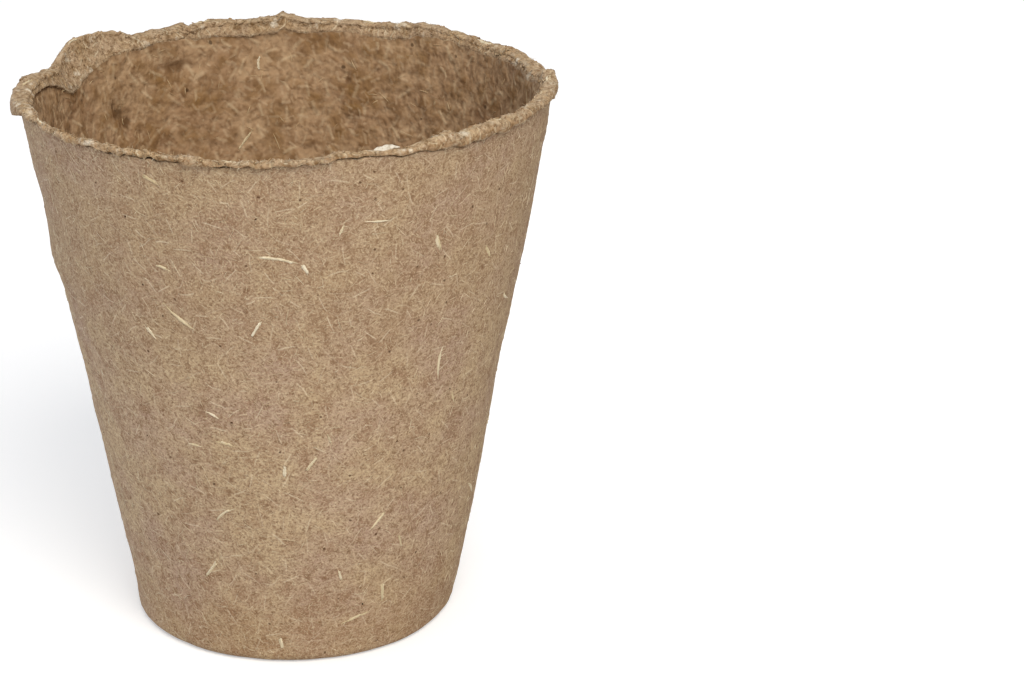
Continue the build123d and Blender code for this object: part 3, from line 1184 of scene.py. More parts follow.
@dataclass(frozen=True)
class FibreField:
    """Loose fibres strewn on one face: long soft hairs of wood and flax that lie in the felt."""

    name: str
    zone: Zone
    count: int
    length: tuple[float, float]
    radius: tuple[float, float]
    lift: float
    curl: float
    seed: int
    points: int = 7
    margin: float = 1.5
    short_or_long: tuple[float, float] = (1.4, 2.6)
    sunk: float = 0.02
    lift_spread: tuple[float, float] = (0.4, 1.4)
    thin_end: float = 0.35

    def roots(self, draw: np.random.Generator) -> np.ndarray:
        """Random starting places on the face, even all over it.

        Args:
            draw: The random draw.

        Returns:
            The places.
        """
        height = draw.uniform(self.margin, FORM.height - self.margin, 4 * self.count)
        radius = FORM.cone(height)
        kept = height[draw.uniform(0, FORM.lip_radius, len(height)) < radius][: self.count]
        bearing = draw.uniform(0, 360, len(kept))
        face = FORM.outer if self.zone is Zone.OUTER else FORM.inner
        return polar(face(bearing, kept), bearing, kept)

    def build(self, ground: Ground, finish: DriedFibre) -> None:
        """Grow the fibres as one piece and dress them.

        Args:
            ground: The skin that they lie on.
            finish: What they are made of.
        """
        draw = np.random.default_rng(self.seed)
        place, normal = ground.land(self.roots(draw))
        count = len(place)
        length = skewed(draw, self.length, self.short_or_long, count)
        step = (length / (self.points - 1))[:, None]
        heading = unit(np.cross(normal, unit(draw.normal(size=(count, 3)))))
        curl = np.radians(draw.normal(0, self.curl, (count, 1)))
        places, normals = [place], [normal]
        for _ in range(self.points - 1):
            heading = unit(heading * np.cos(curl * step) + np.cross(normal, heading) * np.sin(curl * step))
            place, normal = ground.land(place + heading * step)
            heading = unit(heading - normal * np.sum(heading * normal, axis=1, keepdims=True))
            places.append(place)
            normals.append(normal)
        path, facing = np.stack(places, axis=1), np.stack(normals, axis=1)
        path[:, 1:-1] = (path[:, :-2] + 2 * path[:, 1:-1] + path[:, 2:]) / 4
        bow = np.sin(np.linspace(0, np.pi, self.points))
        thick = draw.uniform(*self.radius, count)
        lifted = draw.uniform(*self.lift_spread, count)[:, None, None]
        path += facing * (bow * self.lift - self.sunk)[:, None] * lifted
        radii = thick[:, None] * (self.thin_end + (1 - self.thin_end) * bow**0.5)
        tones = draw.uniform(0, 1, count)
        mesh = tube_mesh(path, facing, radii, 3, tones)
        settle(mesh.make(self.name, finish.material()), Slot.STRAW)


@dataclass(frozen=True)
class LipFuzz:
    """Broken fibre ends that stand out of the torn deckle lip."""

    name: str = "lip_fuzz"
    count: int = 1400
    length: tuple[float, float] = (0.25, 1.4)
    radius: tuple[float, float] = (0.028, 0.055)
    points: int = 5
    seed: int = 31
    # Shares of the lip's section that it grows on, and how it stands: lying down towards 0, upright at 1
    grows_on: tuple[float, float] = (0.3, 0.9)
    short_or_long: tuple[float, float] = (1.2, 2.8)
    stand: tuple[float, float] = (0.05, 0.75)
    drift: float = 0.22
    sunk: float = 0.06
    thin_end: float = 0.35

    def build(self, ground: Ground, finish: DriedFibre) -> None:
        """Grow the fuzz out of the lip's skin as one piece.

        Args:
            ground: The skin that it grows from.
            finish: What it is made of.
        """
        draw = np.random.default_rng(self.seed)
        roots = ground.torn_places(draw, self.count, *self.grows_on)
        place, normal = ground.spots[roots], ground.normals[roots]
        length = skewed(draw, self.length, self.short_or_long, self.count)
        step = (length / (self.points - 1))[:, None]
        rim = np.cross((0, 0, 1), place) / FORM.lip_radius
        lying = np.cross(normal, unit(draw.normal(size=(self.count, 3))))
        lying = unit(lying + rim * draw.normal(0, 1, (self.count, 1)))
        stand = draw.uniform(*self.stand, (self.count, 1)) ** 1.5
        heading = unit(lying + normal * stand)
        drift = draw.normal(0, self.drift, (self.count, 3))
        path = [place - normal * self.sunk]
        for _ in range(self.points - 1):
            heading = unit(heading + drift)
            path.append(path[-1] + heading * step)
        path = np.stack(path, axis=1)
        facing = np.repeat(normal[:, None], self.points, axis=1)
        thick = draw.uniform(*self.radius, self.count)
        radii = thick[:, None] * np.linspace(1.0, self.thin_end, self.points)
        tones = draw.uniform(0, 1, self.count)
        mesh = tube_mesh(path, facing, radii, 3, tones)
        settle(mesh.make(self.name, finish.material()), Slot.STRAW)


def solids_of(node: Object) -> list[np.ndarray]:
    """Take the separate solids of a CAD node apart.

    Args:
        node: The node.

    Returns:
        The corners of each solid, in millimetres.
    """
    corners, merged = np.unique(read_rows(node.data.vertices, "co", 3), axis=0, return_inverse=True)
    edges = merged.reshape(-1)[read_rows(node.data.edges, "vertices", 2, np.int32)]
    label = np.arange(len(corners))
    for _ in range(len(corners)):
        lowest = label.copy()
        np.minimum.at(lowest, edges[:, 0], label[edges[:, 1]])
        np.minimum.at(lowest, edges[:, 1], label[edges[:, 0]])
        if np.array_equal(lowest, label):
            break
        label = lowest
    return [corners[label == mark] / MM for mark in np.unique(label)]


class Bits:
    """Where the thin solids of a CAD node lie: their middles, directions, lengths and widths."""

    def __init__(self, node: str) -> None:
        """Measure every solid of the node.

        Args:
            node: The node's name.
        """
        self.centres, self.headings, self.lengths, self.widths = (
            np.array(column) for column in zip(*map(self.measure, solids_of(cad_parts[node])))
        )

    @staticmethod
    def measure(corners: np.ndarray) -> tuple[np.ndarray, np.ndarray, float, float]:
        """Measure one solid along its own axes.

        Args:
            corners: The solid's corners.

        Returns:
            Its centre, the direction of its length, its length and its width.
        """
        centre = corners.mean(axis=0)
        directions = np.linalg.svd(corners - centre)[2]
        extents = np.ptp((corners - centre) @ directions.T, axis=0)
        return centre, directions[0], float(extents[0]), float(extents[1])


@dataclass(frozen=True)
class StrawGroup:
    """Straw splinters bedded in one face of the pot, where the CAD node's own splinters lie."""

    name: str
    node: str
    seed: int
    width_share: tuple[float, float] = (0.6, 1.15)
    thickness: float = 0.24
    proud: float = 0.11
    dips: float = 0.03
    points: int = 17
    sides: int = 8
    strands: int = 4
    length_share: tuple[float, float] = (0.95, 1.02)
    bend: float = 0.04
    # The strands beside the first: shares of the length that an end lacks, and of the width they lie off
    shorter: tuple[float, float] = (0.04, 0.34)
    beside: float = 0.30
    splay: float = 1.6
    first_breadth: float = 0.3
    breadth: tuple[float, float] = (0.45, 0.85)
    blunt_ends: float = 0.45
    frayed: float = 0.16
    sunk: tuple[float, float] = (-0.04, 0.02)
    tone_spread: float = 0.2

    def build(self, ground: Ground, finish: DriedFibre) -> None:
        """Lay the splinters on the skin as one piece that stands for the node, and dress it.

        Args:
            ground: The skin that they are bedded in.
            finish: The straw.
        """
        draw = np.random.default_rng(self.seed)
        bits = Bits(self.node)
        centres, heading = bits.centres, bits.headings
        count = len(centres)
        lengths = bits.lengths * draw.uniform(*self.length_share, count)
        widths = bits.widths * draw.uniform(*self.width_share, count)
        _, normal = ground.land(centres)
        side = unit(np.cross(normal, heading))
        bend = draw.normal(0, self.bend, count)
        # Each splinter is split along its grain: a thin strand as long as itself, and broad shorter ones
        lead = np.arange(self.strands) == 0
        cut = np.where(lead, 0, draw.uniform(*self.shorter, (2, count, self.strands)))
        first, last = -0.5 + cut[0], 0.5 - cut[1]
        share = first[..., None] + (last - first)[..., None] * np.linspace(0, 1, self.points)
        off = np.where(lead, 0, draw.uniform(-self.beside, self.beside, (count, self.strands)))[..., None]
        off = off * widths[:, None, None] * (1 + self.splay * np.abs(2 * share) ** 3)
        across = lengths[:, None, None] * bend[:, None, None] * (1 - 4 * share**2) + off
        run = (lengths[:, None, None] * share)[..., None] * heading[:, None, None]
        run = run + across[..., None] * side[:, None, None]
        path, facing = ground.land((centres[:, None, None] + run).reshape(-1, self.points, 3))
        for _ in range(3):
            path[:, 1:-1] = (path[:, :-2] + 2 * path[:, 1:-1] + path[:, 2:]) / 4
            facing[:, 1:-1] = unit(facing[:, :-2] + facing[:, 1:-1] + facing[:, 2:])
        tubes = count * self.strands
        place = np.linspace(0, 1, self.points)
        blunt = draw.uniform(0, 1, (tubes, 2)) < self.blunt_ends
        taper = self.taper(place, blunt[:, :1]) * self.taper(1 - place, blunt[:, 1:])
        taper *= 1 + draw.normal(0, self.frayed, taper.shape)
        broad = np.where(lead, self.first_breadth, draw.uniform(*self.breadth, (count, self.strands)))
        broad = broad * widths[:, None] / 2
        sunk = draw.uniform(*self.sunk, (tubes, 1, 1)) + draw.normal(0, self.dips, (tubes, self.points, 1))
        path += facing * (self.proud - self.thickness / 2 + sunk)
        radii = np.stack([broad.reshape(-1, 1) * taper, self.thickness / 2 * taper**0.4], axis=-1)
        tones = draw.uniform(0, 1, (count, 1)) + draw.normal(0, self.tone_spread, (count, self.strands))
        mesh = tube_mesh(path, facing, radii, self.sides, np.clip(tones, 0, 1).reshape(-1))
        settle(mesh.make(self.name, finish.material()), Slot.STRAW, self.node)

    @staticmethod
    def taper(inward: np.ndarray, blunt: np.ndarray) -> np.ndarray:
        """How broad a strand is at a share of its length from an end that is blunt or runs out."""
        return np.where(blunt, np.clip(inward / 0.05, 0.6, 1), np.clip(inward / 0.35, 0.2, 1))


def ball(rings: int, columns: int) -> tuple[np.ndarray, list[np.ndarray]]:
    """A unit ball of rings and columns.

    Args:
        rings: How many rings lie between its poles.
        columns: How many points a ring has.

    Returns:
        Its points, and its faces as quads and triangles.
    """
    tilt = np.pi * (np.arange(rings) + 1) / (rings + 1)
    turn = 2 * np.pi * np.arange(columns) / columns
    body = np.stack([np.outer(np.sin(tilt), np.cos(turn)), np.outer(np.sin(tilt), np.sin(turn)),
                     np.outer(np.cos(tilt), np.ones(columns))], axis=-1).reshape(-1, 3)
    spots = np.concatenate([body, [[0, 0, 1], [0, 0, -1]]])
    index = np.arange(rings * columns).reshape(rings, columns)
    after = np.roll(index, -1, axis=1)
    walls = np.stack([index[:-1], index[1:], after[1:], after[:-1]], axis=-1).reshape(-1, 4)
    top = np.stack([np.full(columns, len(body)), index[0], after[0]], axis=1)
    bottom = np.stack([np.full(columns, len(body) + 1), after[-1], index[-1]], axis=1)
    return spots, [walls, np.concatenate([top, bottom])]


def lump_mesh(
    centres: np.ndarray, axes: np.ndarray, rough: float, grain: float, tones: np.ndarray, detail: int
) -> Mesh:
    """Many small rough lumps at once.

    Args:
        centres: Their middles.
        axes: Three half-axes for each lump, as vectors.
        rough: How uneven they are, as a share of their size.
        grain: The size of their unevenness.
        tones: One random value for each lump.
        detail: How many rings a lump has.

    Returns:
        The lumps as one mesh.
    """
    spots, faces = ball(detail, 2 * detail)
    count, size = len(centres), len(spots)
    placed = np.einsum("pk,nkc->npc", spots, axes)
    uneven = 1 + rough * FINE.at(placed + 7 * centres[:, None], grain)
    placed = centres[:, None] + placed * uneven[..., None]
    shift = (np.arange(count) * size)[:, None, None]
    joined = [(face[None] + shift).reshape(-1, face.shape[1]) for face in faces]
    tone = np.repeat(tones, size)
    return Mesh(placed.reshape(-1, 3), joined, {"tone": tone, "lip": 0.25 + 0.5 * tone})


@dataclass(frozen=True)
class BarkGroup:
    """Dark bark crumbs bedded in one face, where the CAD node's own crumbs lie."""

    name: str
    node: str
    seed: int
    spread: tuple[float, float] = (0.24, 0.42)
    thickness: float = 0.12
    breadth: float = 0.75
    rough: float = 0.45
    grain: float = 0.35
    detail: int = 9

    def build(self, ground: Ground, finish: BarkCrumb) -> None:
        """Seat the crumbs in the skin as one piece that stands for the node, and dress it.

        Args:
            ground: The skin that they are bedded in.
            finish: The bark.
        """
        draw = np.random.default_rng(self.seed)
        bits = Bits(self.node)
        count = len(bits.centres)
        place, normal = ground.land(bits.centres)
        long = unit(np.cross(normal, draw.normal(size=(count, 3))))
        half = bits.lengths[:, None] / 2 * draw.uniform(*self.spread, (count, 1))
        across = np.cross(normal, long) * half * self.breadth
        axes = np.stack([long * half, across, normal * self.thickness], axis=1)
        mesh = lump_mesh(place, axes, self.rough, self.grain, draw.uniform(0, 1, count), self.detail)
        settle(mesh.make(self.name, finish.material()), Slot.BARK, self.node)


@dataclass(frozen=True)
class LipCrumbs:
    """Crumbs and knots of pulp that the torn lip ends in."""

    name: str = "lip_crumbs"
    count: int = 1000
    size: tuple[float, float] = (0.12, 0.45)
    seed: int = 41
    # Shares of the lip's section that they grow on
    grows_on: tuple[float, float] = (0.42, 0.85)
    small_or_large: tuple[float, float] = (1.3, 2.2)
    along_rim: float = 1.6
    stretch: tuple[float, float] = (0.9, 2.3)
    breadth: float = 0.8
    thickness: float = 0.6
    sunk: float = 0.15
    rough: float = 0.7
    grain: float = 0.4
    detail: int = 5

    def build(self, ground: Ground, finish: Pulp) -> None:
        """Seat the crumbs on the lip's skin as one piece and dress it.

        Args:
            ground: The skin that they grow from.
            finish: The pulp.
        """
        draw = np.random.default_rng(self.seed)
        roots = ground.torn_places(draw, self.count, *self.grows_on)
        place, normal = ground.spots[roots], ground.normals[roots]
        half = skewed(draw, self.size, self.small_or_large, (self.count, 1))
        rim = unit(np.cross((0, 0, 1), place))
        heading = unit(np.cross(normal, draw.normal(size=(self.count, 3))) + self.along_rim * rim)
        long = half * draw.uniform(*self.stretch, (self.count, 1))
        across = np.cross(normal, heading) * half * self.breadth
        axes = np.stack([heading * long, across, normal * half * self.thickness], axis=1)
        tones = draw.uniform(0, 1, self.count)
        mesh = lump_mesh(place - normal * half * self.sunk, axes, self.rough, self.grain, tones, self.detail)
        settle(mesh.make(self.name, finish.material()), Slot.PULP)


@dataclass(frozen=True)
class PaperChip:
    """The white chip of torn paper pressed into the front of the lip."""

    name: str = "paper_chip"
    node: str = "rim_paper_chip"
    thickness: float = 0.2
    length: float = 4.0
    width: float = 1.05
    shift: float = -0.45
    detail: int = 40
    # The left end is broad and torn, and the right end runs out thin
    narrowing: float = 0.55
    ragged: float = 0.35
    tilt: float = 0.66
    rise: float = 0.15

    def build(self, ground: Ground, finish: TornPaper) -> None:
        """Lay the chip where its node lies and dress it.

        Args:
            ground: The skin that it is pressed into.
            finish: The paper.
        """
        bits = Bits(self.node)
        centre = bits.centres[0]
        heading = bits.headings[0] * np.sign(bits.headings[0][0])
        spots, faces = ball(self.detail, self.detail)
        along, across, upward = spots[:, 2], spots[:, 1], spots[:, 0]
        reach = self.shift + along * self.length / 2
        broad = self.width / 2 * (1 - self.narrowing * np.clip(along + 0.2, 0, 1))
        outward = unit(centre * (1, 1, 0))
        facing = unit(outward * 0.75 + (0, 0, self.tilt))
        side = unit(np.cross(facing, heading))
        level = centre + heading * reach[:, None] + (0, 0, self.rise)
        seat, _ = ground.land(level + outward * 0.35)
        ragged = 1 + self.ragged * FINE.at(seat + 3 * side * across[:, None], 0.8)
        seat += side * (across * broad * ragged + 0.2 * along)[:, None]
        seat += facing * (self.thickness * (1.3 + upward))[:, None]
        mesh = Mesh(seat, faces, {})
        settle(mesh.make(self.name, finish.material()), Slot.PAPER, self.node)


def millimetres(tree: NodeTree) -> NodeSocket:
    """The shaded place on the object in millimetres, fixed to the object."""
    return scaled(tree, add_node(tree, "ShaderNodeTexCoord").outputs["Object"], 1 / MM)


def start_group(name: str, inputs: tuple[str, ...]) -> tuple[NodeTree, object]:
    """Start a node group that turns a place and some numbers into a mask.

    Args:
        name: The group's name.
        inputs: What its numbers are called.

    Returns:
        The group's tree, and the sockets that its inputs come in by.
    """
    tree = bpy.data.node_groups.new(name, "ShaderNodeTree")
    tree.interface.new_socket("Place", in_out="INPUT", socket_type="NodeSocketVector")
    for label in inputs:
        tree.interface.new_socket(label, in_out="INPUT", socket_type="NodeSocketFloat")
    tree.interface.new_socket("Mask", in_out="OUTPUT", socket_type="NodeSocketFloat")
    return tree, add_node(tree, "NodeGroupInput").outputs


def scatter(tree: NodeTree, place: NodeSocket, cell: NodeSocket) -> tuple[NodeSocket, object]:
    """Divide space into random cells, each of which holds one bit.

    Args:
        tree: The node tree.
        place: The place in millimetres.
        cell: How wide a cell is, in millimetres.

    Returns:
        The place counted in cells, and the cells' own sockets.
    """
    spot = scaled(tree, place, maths(tree, "DIVIDE", 1.0, cell))
    return spot, add_node(tree, "ShaderNodeTexVoronoi", {"Vector": spot, "Scale": 1.0}).outputs


def lying_fibres() -> NodeTree:
    """A node group that draws short fibres lying every way in a face, one to each cell of a scatter.

    Returns:
        The group, with a mask of the fibres as its output.
    """
    known = bpy.data.node_groups.get("lying_fibres")
    if known:
        return known
    tree, given = start_group("lying_fibres", ("Cell", "Width", "Strength", "Lean"))
    normal = add_node(tree, "ShaderNodeNewGeometry").outputs["Normal"]
    spot, cells = scatter(tree, given["Place"], given["Cell"])
    off = vectors(tree, "SUBTRACT", spot, cells["Position"])
    chance = vectors(tree, "SUBTRACT", cells["Color"], (0.5, 0.5, 0.5))
    lean = add_node(tree, "ShaderNodeCombineXYZ", {"Z": given["Lean"]}).outputs[0]
    lie = vectors(tree, "ADD", vectors(tree, "CROSS_PRODUCT", normal, chance), lean)
    lie = vectors(tree, "NORMALIZE", lie)
    across = vectors(tree, "CROSS_PRODUCT", normal, lie)
    beside = product(tree, maths(tree, "ABSOLUTE", along(tree, off, across)), given["Cell"])
    flank = ramp(tree, beside, 0.0, given["Width"], 1.0, 0.0)
    tip = ramp(tree, maths(tree, "ABSOLUTE", along(tree, off, lie)), 0.28, 0.42, 1.0, 0.0)
    luck = add_node(tree, "ShaderNodeSeparateColor", {0: cells["Color"]}).outputs[2]
    luck = ramp(tree, luck, 0.0, 1.0, 0.3, 1.0, "LINEAR")
    add_node(tree, "NodeGroupOutput", {0: product(tree, flank, tip, luck, given["Strength"])})
    return tree


def bedded_specks() -> NodeTree:
    """A node group that draws small ragged specks in some of the cells of a scatter.

    Returns:
        The group, with a mask of the specks as its output.
    """
    known = bpy.data.node_groups.get("bedded_specks")
    if known:
        return known
    tree, given = start_group("bedded_specks", ("Cell", "Radius", "Share", "Strength"))
    ragged = noise(tree, given["Place"], 1 / 3, 2.0, "Color")
    place = vectors(tree, "ADD", given["Place"], scaled(tree, ragged, 0.3))
    _, cells = scatter(tree, place, given["Cell"])
    far = product(tree, cells["Distance"], given["Cell"])
    blot = ramp(tree, far, product(tree, given["Radius"], 0.5), given["Radius"], 1.0, 0.0)
    luck = add_node(tree, "ShaderNodeSeparateColor", {0: cells["Color"]}).outputs[0]
    picked = maths(tree, "LESS_THAN", luck, given["Share"])
    add_node(tree, "NodeGroupOutput", {0: product(tree, blot, picked, given["Strength"])})
    return tree


class Finish:
    """A material that is built when a piece first asks for it."""

    name: str

    def material(self) -> Material:
        """The finish as a material, made once.

        Returns:
            The material.
        """
        known = bpy.data.materials.get(self.name)
        if known is None:
            known, tree = new_material(self.name)
            self.mix(tree)
        return known

    def mix(self, tree: NodeTree) -> None:
        """Build the look, up to the surface, in the material's tree."""
        raise NotImplementedError

    @staticmethod
    def surface(
        tree: NodeTree, colour: NodeSocket, height: object, depth: float, gloss: dict[str, float]
    ) -> None:
        """End a material with its colour and a bump on one Principled BSDF.

        Args:
            tree: The material's tree.
            colour: Its colour.
            height: Its relief.
            depth: How many millimetres the relief stands for.
            gloss: The shader's own inputs that are the same all over.
        """
        bump = {"Height": height, "Distance": depth * MM, "Strength": 1.0}
        bump = add_node(tree, "ShaderNodeBump", bump).outputs[0]
        skin = add_node(tree, "ShaderNodeBsdfPrincipled", {"Base Color": colour, "Normal": bump, **gloss})
        add_node(tree, "ShaderNodeOutputMaterial", {0: skin.outputs[0]})


@dataclass(frozen=True)
class Cloud:
    """Soft clouds: their width in millimetres, the noise values they fade between, colour and rise."""

    size: float
    low: float
    high: float
    colour: str
    rise: float = 0.0


@dataclass(frozen=True)
class FibreCoat:
    """One layer of fibres in the felt, where a dark layer is painted shade between the fibres: spacing and
    width in millimetres, strength, colour and height.
    """

    cell: float
    width: float
    strength: float
    colour: str
    rise: float = 0.0


@dataclass(frozen=True)
class SpeckCoat:
    """One sort of speck: spacing and radius in millimetres, share of the cells, strength and colour."""

    cell: float
    radius: float
    share: float
    strength: float
    colour: str


@dataclass(frozen=True)
class Band:
    """A colour along one line of the lip: its middle and reach as shares of the section, and strength."""

    middle: float
    reach: float
    strength: float
    colour: str


@dataclass(frozen=True)
class Stain:
    """A colour that sets in while a value, a height or a depth, goes from start to full."""

    start: float
    full: float
    strength: float
    colour: str


@dataclass(frozen=True)
class Pulp(Finish):
    """Moulded pulp: peat and wood fibre drained on a wire mould, pressed and dried, and dead matt.

    The height tints go by the height in millimetres. The painted shade with some dust in the hollows, and
    the paler crests, go by how deep a place lies, in tenths of a millimetre, with crests below zero.
    """

    name: str
    base: str
    clouds: tuple[Cloud, ...]
    fibres: tuple[FibreCoat, ...]
    specks: tuple[SpeckCoat, ...]
    bands: tuple[Band, ...] = ()
    shade_dust_and_pale_crests: tuple[Stain, ...] = ()
    height_tints: tuple[Stain, ...] = ()
    cloud_detail: float = 3.0
    bend_size: float = 2.5
    bend: float = 0.6
    lean: float = 0.1
    roughness: float = 0.93

    def mix(self, tree: NodeTree) -> None:
        """Lay clouds, height tints, bands, lying fibres with painted shade between them, painted shade with
        dust in the hollows, paler crests and specks over each other, and raise some of them.

        Args:
            tree: The material's tree.
        """
        place = millimetres(tree)
        colour: object = self.base
        height: object = 0.0
        for cloud in self.clouds:
            grey = noise(tree, place, cloud.size, self.cloud_detail, Roughness=0.6)
            mask = ramp(tree, grey, cloud.low, cloud.high, kind="LINEAR")
            colour = blend(tree, mask, colour, cloud.colour)
            height = self.raised(tree, grey, cloud.rise, height)
        # Colours that set in with height alone
        for height_tint in self.height_tints:
            level = add_node(tree, "ShaderNodeSeparateXYZ", {0: place}).outputs[2]
            mask = ramp(tree, level, height_tint.start, height_tint.full, 0.0, height_tint.strength)
            colour = blend(tree, mask, colour, height_tint.colour)
        for band in self.bands:
            off = maths(tree, "ABSOLUTE", maths(tree, "SUBTRACT", attribute(tree, "lip"), band.middle))
            mask = ramp(tree, off, 0.0, band.reach, band.strength, 0.0)
            colour = blend(tree, mask, colour, band.colour)
        # One swaying of the place bends the fibres of all layers
        sway = scaled(tree, noise(tree, place, self.bend_size, 1.0, "Color"), self.bend)
        bent = vectors(tree, "ADD", place, sway)
        for number, coat in enumerate(self.fibres):
            given = {"Cell": coat.cell, "Width": coat.width, "Strength": coat.strength, "Lean": self.lean}
            mask = self.layer(tree, lying_fibres(), bent, number, given)
            colour = blend(tree, mask, colour, coat.colour)
            height = self.raised(tree, mask, coat.rise, height)
        # Painted shade, with some dust, darkens the hollows, and the crests turn paler
        for relief_tint in self.shade_dust_and_pale_crests:
            mask = ramp(tree, attribute(tree, "hollow"), relief_tint.start, relief_tint.full, 0.0, relief_tint.strength)
            colour = blend(tree, mask, colour, relief_tint.colour)
        for number, coat in enumerate(self.specks):
            given = {"Cell": coat.cell, "Radius": coat.radius, "Share": coat.share, "Strength": coat.strength}
            mask = self.layer(tree, bedded_specks(), bent, number + len(self.fibres), given)
            colour = blend(tree, mask, colour, coat.colour)
        gloss = {"Roughness": self.roughness, "Specular IOR Level": 0.12, "IOR": 1.45}
        self.surface(tree, colour, height, 1.0, gloss)

    @staticmethod
    def raised(tree: NodeTree, mask: NodeSocket, rise: float, under: object) -> object:
        """A height in millimetres with one more layer on it, where the layer has a height."""
        return maths(tree, "MULTIPLY_ADD", mask, rise, under) if rise else under

    @staticmethod
    def layer(
        tree: NodeTree, group: NodeTree, place: NodeSocket, number: int, given: dict[str, float]
    ) -> NodeSocket:
        """Scatter a group's fibres or specks.

        Args:
            tree: The material's tree.
            group: The node group.
            place: The place in millimetres.
            number: Which layer it is, so that no two fall alike.
            given: The group's other inputs.

        Returns:
            The layer's mask.
        """
        shifted = vectors(tree, "ADD", place, (31.0 * number, 17.0 * number, 5.0))
        return add_node(tree, "ShaderNodeGroup", {"Place": shifted, **given}, node_tree=group).outputs["Mask"]


# The outer face was pressed against the wire mould: the eye sees a tight, flat felt of short fibres
PRESSED_FELT = Pulp(
    name="pressed_felt",
    base="b69e7e",
    clouds=(
        Cloud(11, 0.42, 0.66, "ae947f"),
        Cloud(2.8, 0.48, 0.74, "93745a"),
        Cloud(1.0, 0.50, 0.74, "82644a"),
        Cloud(0.40, 0.46, 0.72, "7d6149", 0.20),
    ),
    fibres=(
        FibreCoat(0.52, 0.12, 0.62, "cab696"),
        # Painted shade between the fibres: a dark layer of lying strokes
        FibreCoat(0.56, 0.12, 0.60, "775c44"),
        FibreCoat(1.0, 0.13, 0.46, "cfbb9b", 0.05),
        FibreCoat(1.9, 0.14, 0.36, "d9c7a8"),
        FibreCoat(3.6, 0.15, 0.45, "e0d1b6"),
    ),
    specks=(
        SpeckCoat(1.2, 0.21, 0.35, 0.60, "66462e"),
        SpeckCoat(2.0, 0.27, 0.22, 0.80, "4c3120"),
        SpeckCoat(3.4, 0.60, 0.28, 0.50, "6f4c33"),
    ),
    # Darker towards the top, and warmer and darker towards the foot
    height_tints=(
        Stain(42, 64, 0.28, "8a6f54"),
        Stain(18, 3, 0.24, "8f6a40"),
    ),
)

# The inner face was open to the air: soft clots and blunt loose strands
OPEN_FELT = Pulp(
    name="open_felt",
    base="ac8e6d",
    clouds=(
        Cloud(7.0, 0.36, 0.72, "97785a"),
        Cloud(3.2, 0.44, 0.74, "84643f", 0.6),
        Cloud(1.5, 0.46, 0.80, "75573a", 0.5),
    ),
    fibres=(
        # Painted shade between the fibres: a dark layer of lying strokes
        FibreCoat(1.7, 0.36, 0.42, "66492e", -0.06),
        FibreCoat(1.5, 0.30, 0.26, "bda484", 0.04),
        FibreCoat(2.3, 0.40, 0.36, "c6ad8d", 0.08),
        FibreCoat(3.6, 0.45, 0.44, "d0b996", 0.10),
    ),
    # Painted shade with some dust in the hollows, and paler crests
    shade_dust_and_pale_crests=(
        Stain(0.5, 3.5, 0.75, "55391f"),
        Stain(-0.5, -3.0, 0.35, "c0a582"),
    ),
    cloud_detail=1.5,
    lean=0.3,
    specks=(
        SpeckCoat(3.6, 0.45, 0.30, 0.75, "3f2c1c"),
    ),
)

# The deckle lip was torn free wet and never pressed: the eye sees crumbs and pale crests, with painted shade
# in the crease under the lip and in the hollows of its folds
TORN_EDGE = Pulp(
    name="torn_edge",
    base="ad9478",
    clouds=(
        Cloud(4.0, 0.40, 0.64, "ac906e"),
        Cloud(1.2, 0.48, 0.70, "7c6142", 0.40),
        Cloud(0.55, 0.48, 0.72, "6c5439", 0.30),
        Cloud(2.3, 0.58, 0.73, "d9cdb8", 0.55),
    ),
    bands=(
        # Painted shade: a thin dark brown line in the crease under the lip
        Band(0.16, 0.10, 0.95, "321a09"),
        Band(0.32, 0.17, 0.50, "86633f"),
        Band(0.58, 0.12, 0.15, "c2ae90"),
        Band(1.0, 0.20, 0.45, "a0866a"),
    ),
    fibres=(
        # Painted shade between the fibres: a dark layer of lying strokes
        FibreCoat(0.9, 0.14, 0.50, "6b4e2e", -0.05),
        FibreCoat(1.2, 0.17, 0.42, "d3c09c", 0.06),
        FibreCoat(2.2, 0.20, 0.45, "e4d6b8", 0.06),
    ),
    # Painted shade with some dust in the hollows, and paler crests
    shade_dust_and_pale_crests=(
        Stain(0.3, 2.0, 0.80, "432a14"),
        Stain(-0.5, -2.2, 0.42, "dccfb6"),
    ),
    specks=(
        SpeckCoat(1.6, 0.24, 0.25, 0.70, "4c3724"),
    ),
)


@dataclass(frozen=True)
class DriedFibre(Finish):
    """Dried plant fibre: straw split along its grain, or single flax and wood hairs, faintly waxy."""

    name: str
    pale: str
    dull: str
    streak: str
    # How quickly the streaks change along the fibre, round it, and from one fibre to the next
    stretch: tuple[float, float, float] = (0.7, 2.6, 1.0)

    def mix(self, tree: NodeTree) -> None:
        """Give every fibre its own tone, with streaks along it.

        Args:
            tree: The material's tree.
        """
        drawn = vectors(tree, "MULTIPLY", attribute(tree, "grain", "Vector"), self.stretch)
        lines = noise(tree, drawn, 1.0, 3.0)
        colour = blend(tree, attribute(tree, "tone"), self.pale, self.dull)
        colour = blend(tree, ramp(tree, lines, 0.45, 0.8, kind="LINEAR"), colour, self.streak)
        self.surface(tree, colour, lines, 0.06, {"Roughness": 0.7, "Specular IOR Level": 0.35, "IOR": 1.5})


@dataclass(frozen=True)
class BarkCrumb(Finish):
    """Ground bark: dark, corky and dull, broken across its layers."""

    name: str = "ground_bark"
    dark: str = "3e2c1e"
    warm: str = "6e4e34"
    grain: float = 0.25

    def mix(self, tree: NodeTree) -> None:
        """Mottle the dark cork with warmer grains, more on some crumbs than on others.

        Args:
            tree: The material's tree.
        """
        cork = noise(tree, millimetres(tree), self.grain, 3.0)
        colour = blend(tree, product(tree, cork, attribute(tree, "tone")), self.dark, self.warm)
        self.surface(tree, colour, cork, 0.1, {"Roughness": 0.9, "Specular IOR Level": 0.2})


